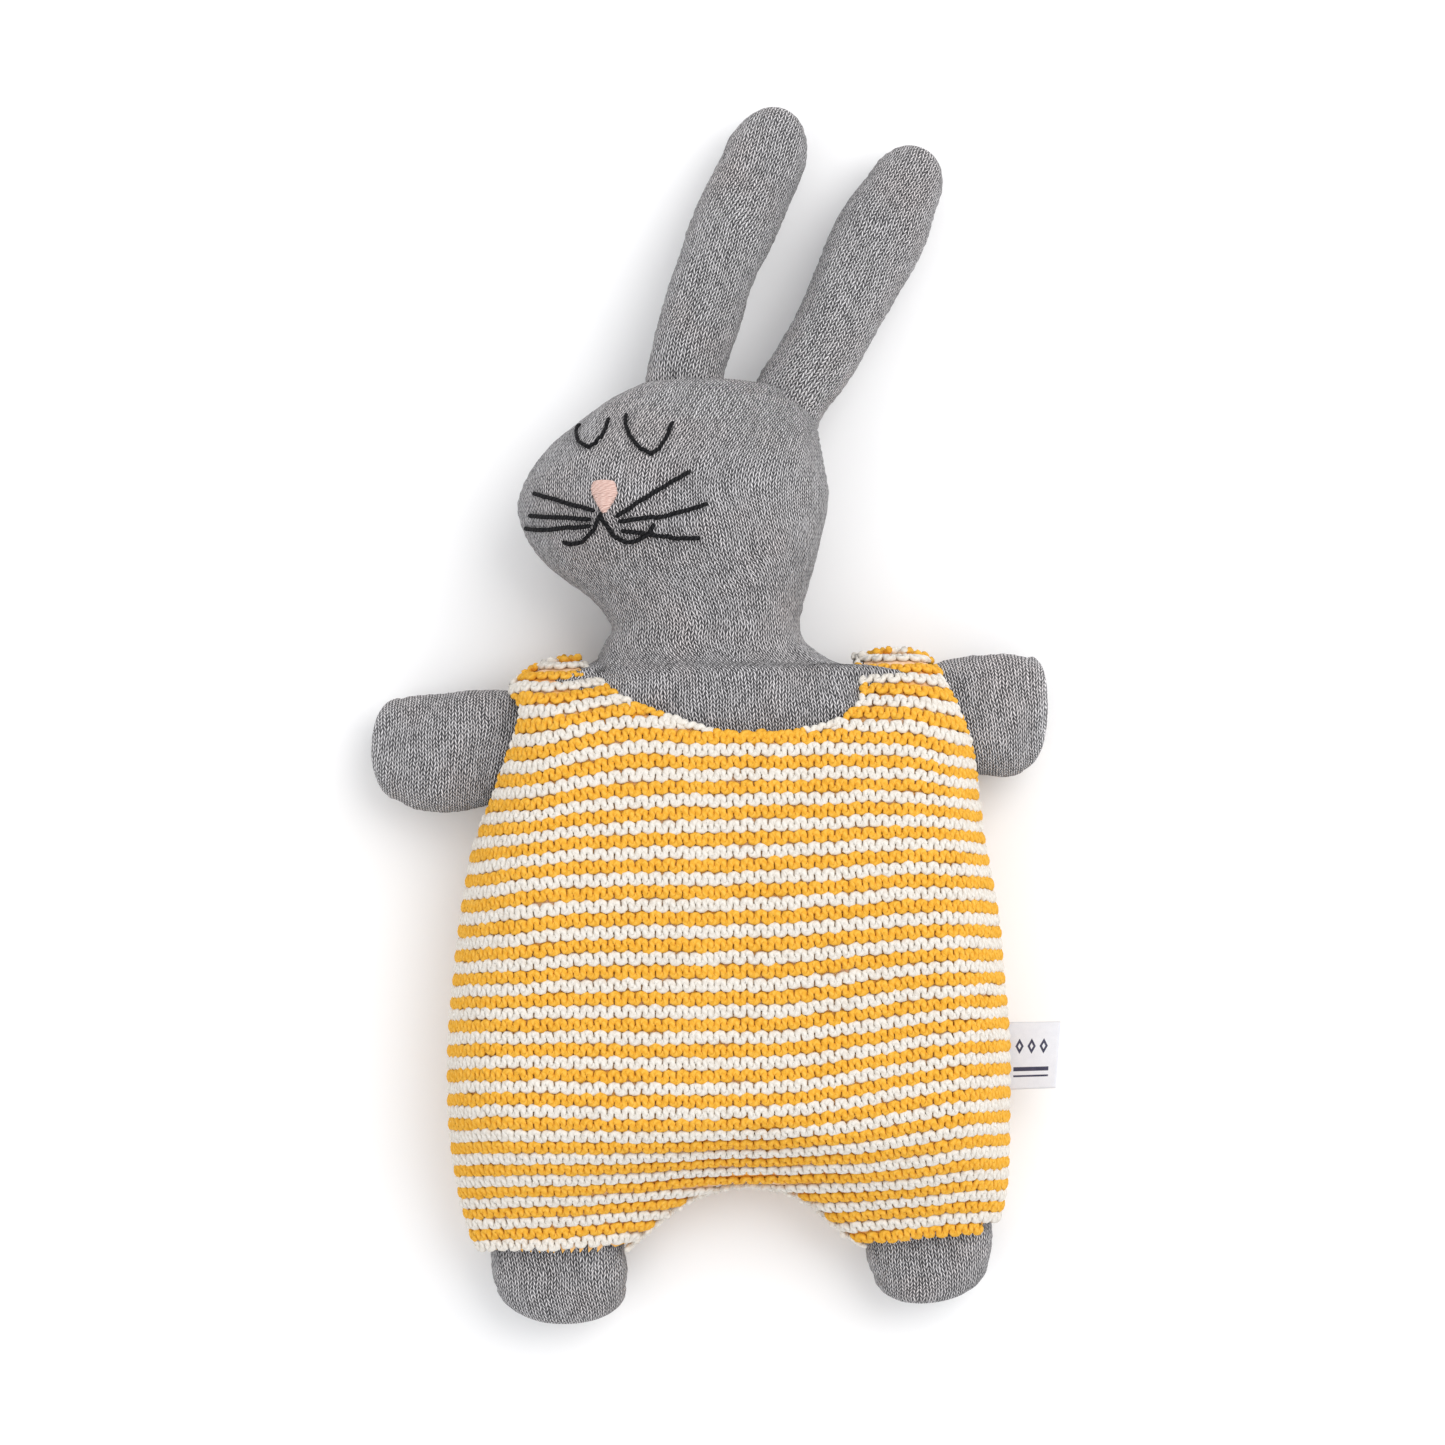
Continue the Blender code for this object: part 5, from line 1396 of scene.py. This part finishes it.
def stitches(line, segments, radius=0.56, lift=0.30, sink=0.22, jitter=0.14, seed=1):
    """Stitches that follow a line on the head, each one a raised thread between two holes."""
    r = np.random.default_rng(seed)
    path = resample(line, 0.25)
    total = np.linalg.norm(np.diff(path, axis=0), axis=1).sum()
    count = segments if segments > 0 else max(2, int(round(total / 2.7)))
    cuts = np.linspace(0, 1, count + 1)
    cuts[1:-1] += r.uniform(-0.12, 0.12, count - 1) / count
    made = []
    for i in range(count):
        a = path[int(round(cuts[i] * (len(path) - 1)))]
        b = path[int(round(cuts[i + 1] * (len(path) - 1)))]
        side = np.array([-(b - a)[1], (b - a)[0]]) / max(np.linalg.norm(b - a), 1e-6)
        a = a + side * r.uniform(-jitter, jitter)
        b = b + side * r.uniform(-jitter, jitter)
        over = 0.35
        d = (b - a) / max(np.linalg.norm(b - a), 1e-6)
        a, b = a - d * over, b + d * over
        size = np.linalg.norm(b - a)
        n = max(6, int(size / 0.35))
        centre, normals = [], []
        for j in range(n + 1):
            t = j / n
            q = a + (b - a) * t
            hit, normal = on_head(q[0], q[1])
            arch = min(t, 1 - t) * size
            h = -sink + (lift + sink + radius * 0.75) * (1 - math.exp(-arch / 0.42))
            centre.append(hit + normal * h)
            normals.append(normal)
        centre, normals = np.array(centre), np.array(normals)
        _, s, up = frames(centre, normals)
        rr = np.full(n + 1, radius) * (1 + 0.06 * wander(np.arange(n + 1) * 0.35, seed * 31 + i, 2.5))
        rr[0] = rr[-1] = radius * 0.25
        rr[1] *= 0.8
        rr[-2] *= 0.8
        walk = np.concatenate([[0], np.cumsum(np.linalg.norm(np.diff(centre, axis=0), axis=1))])
        verts, quads, uv = tube(centre, s, up, rr, rr * 0.9, 9, walk)
        made.append((verts, quads, uv))
    return made


EYE_RIGHT = [(-42.6, 91.2), (-43.6, 89.0), (-43.3, 86.5), (-41.4, 84.7), (-39.2, 84.0), (-36.7, 86.2), (-34.5, 89.3), (-33.6, 93.1)]
EYE_LEFT = [(-28.2, 94.4), (-28.2, 90.6), (-26.3, 86.5), (-23.8, 83.7), (-21.3, 81.8), (-17.6, 83.7), (-15.7, 86.8), (-14.4, 90.6), (-13.5, 91.9)]
FACE = [
    # name, line, number of stitches
    ("eye_stitch_right", EYE_RIGHT, 7),
    ("eye_stitch_left", EYE_LEFT, 9),
    ("whisker_right_upper", [(-57.0, 69.6), (-48.0, 67.2), (-38.2, 64.6)], 2),
    ("whisker_right_middle", [(-58.2, 63.0), (-48.5, 62.4), (-39.4, 61.5)], 2),
    ("whisker_right_lower", [(-59.5, 58.8), (-57.0, 58.1), (-48.0, 59.2), (-39.5, 59.6)], 3),
    ("whisker_left_upper", [(-31.2, 62.6), (-20.0, 69.8), (-8.4, 76.5)], 3),
    ("whisker_left_middle", [(-30.4, 61.1), (-17.2, 62.7), (-10.0, 64.6), (-2.8, 66.2)], 5),
    ("whisker_left_lower", [(-29.5, 58.4), (-25.0, 58.2), (-16.0, 56.3), (-5.3, 55.8)], 4),
    ("mouth_stitch_right", [(-36.2, 63.4), (-37.4, 60.0), (-40.1, 56.4), (-43.3, 54.2), (-47.6, 54.8)], 6),
    ("mouth_stitch_left", [(-36.4, 63.4), (-34.5, 60.2), (-32.6, 57.4), (-28.5, 54.9), (-24.5, 55.4), (-21.3, 57.2), (-19.8, 60.2)], 7),
]
for index, (name, line, count) in enumerate(FACE):
    obj = join(stitches(line, count, radius=0.62 if "eye" in name else 0.69, jitter=0.22, seed=index + 3), BLACK, name + "_thread")
    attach(obj, "head")
    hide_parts(name)

# The nose: satin stitch, threads side by side across a rounded wedge.
NOSE = [(74.1, -37.6, -33.6), (73.5, -38.7, -32.2), (72.5, -39.2, -31.4), (71.0, -39.3, -31.0), (69.5, -38.9, -31.0),
        (68.0, -38.3, -31.5), (66.5, -37.5, -32.4), (65.2, -36.6, -33.4), (64.1, -35.7, -34.3)]
nose_y = np.array([r[0] for r in NOSE][::-1])
nose_l = np.array([r[1] for r in NOSE][::-1])
nose_r = np.array([r[2] for r in NOSE][::-1])
made = []
rng = np.random.default_rng(5)
for y in np.arange(64.0, 73.5, 0.46):
    l = float(np.interp(y, nose_y, nose_l)) + rng.uniform(-0.18, 0.18)
    r_ = float(np.interp(y, nose_y, nose_r)) + rng.uniform(-0.18, 0.18)
    n = max(6, int((r_ - l) / 0.5))
    centre, normals = [], []
    for j in range(n + 1):
        t = j / n
        arch = math.sin(math.pi * t) ** 0.5 if 0 < t < 1 else 0.0
        row = 1 - ((y - 68.9) / 6.2) ** 2
        hit, normal = on_head(l + (r_ - l) * t, y + 0.35 * (t - 0.5) + 0.25 * math.sin(math.pi * t))
        centre.append(hit + normal * (-0.3 + arch * (0.75 + 0.65 * max(0.0, row))))
        normals.append(normal)
    centre, normals = np.array(centre), np.array(normals)
    _, s, up = frames(centre, normals)
    rr = np.full(n + 1, 0.34) * (1 + 0.1 * rng.uniform(-1, 1))
    rr[0] = rr[-1] = 0.15
    walk = np.concatenate([[0], np.cumsum(np.linalg.norm(np.diff(centre, axis=0), axis=1))]) + rng.uniform(0, 5)
    made.append(tube(centre, s, up, rr, rr, 7, walk))
nose = join(made, PINK, "nose_satin_threads")
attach(nose, "head")
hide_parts("nose_stitch")

# ---- side label -------------------------------------------------------------------------------
# A tape folded in half, its fold outwards, its cut ends in the side seam.
def label_piece():
    wide, deep = 21.2, 16.4
    across = np.linspace(0, 1, 30)
    n_fold = 12
    path = []
    for t in np.linspace(0, 1, 20):
        path.append((deep * t, 0.62 - 0.15 * t))
    for a in np.linspace(90, -90, n_fold)[1:-1]:
        path.append((deep + 0.42 * math.cos(math.radians(a)), 0.47 * math.sin(math.radians(a))))
    for t in np.linspace(1, 0, 20):
        path.append((deep * t, -0.62 + 0.15 * t))
    path = np.array(path)
    walk = np.concatenate([[0], np.cumsum(np.linalg.norm(np.diff(path, axis=0), axis=1))])
    verts, uv = [], []
    for i, (d, h) in enumerate(path):
        share = d / deep
        for t in across:
            x = 91.2 + d * (1.0 + 0.0 * t) - 1.6 * share * (1 - t)
            y = -117.3 + wide * t + 0.7 * share * (1 - t) * 1.0 + 0.25 * share * t
            z = 25.0 + h + 1.3 * math.sin(1.9 * share + 0.8 * t) * share + 0.5 * math.sin(3.0 * t + 1.0) * share
            verts.append((x, y, z))
            uv.append((d, t * wide))
    verts, uv = np.array(verts), np.array(uv)
    m, k = len(path), len(across)
    i, j = np.meshgrid(np.arange(m - 1), np.arange(k - 1), indexing="ij")
    quads = np.stack([i * k + j, (i + 1) * k + j, (i + 1) * k + j + 1, i * k + j + 1], -1).reshape(-1, 4)
    obj = new_mesh("side_label_tape", verts, quads, LABEL)
    set_uv(obj, uv[quads.ravel()])
    solid = obj.modifiers.new("thickness", "SOLIDIFY")
    solid.thickness = 0.00028
    solid.offset = 0.0
    return obj, walk[-1]


label, tape = label_piece()
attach(label, "torso")
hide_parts("side_label")

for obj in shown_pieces():
    print("piece", obj.name, len(obj.data.polygons))
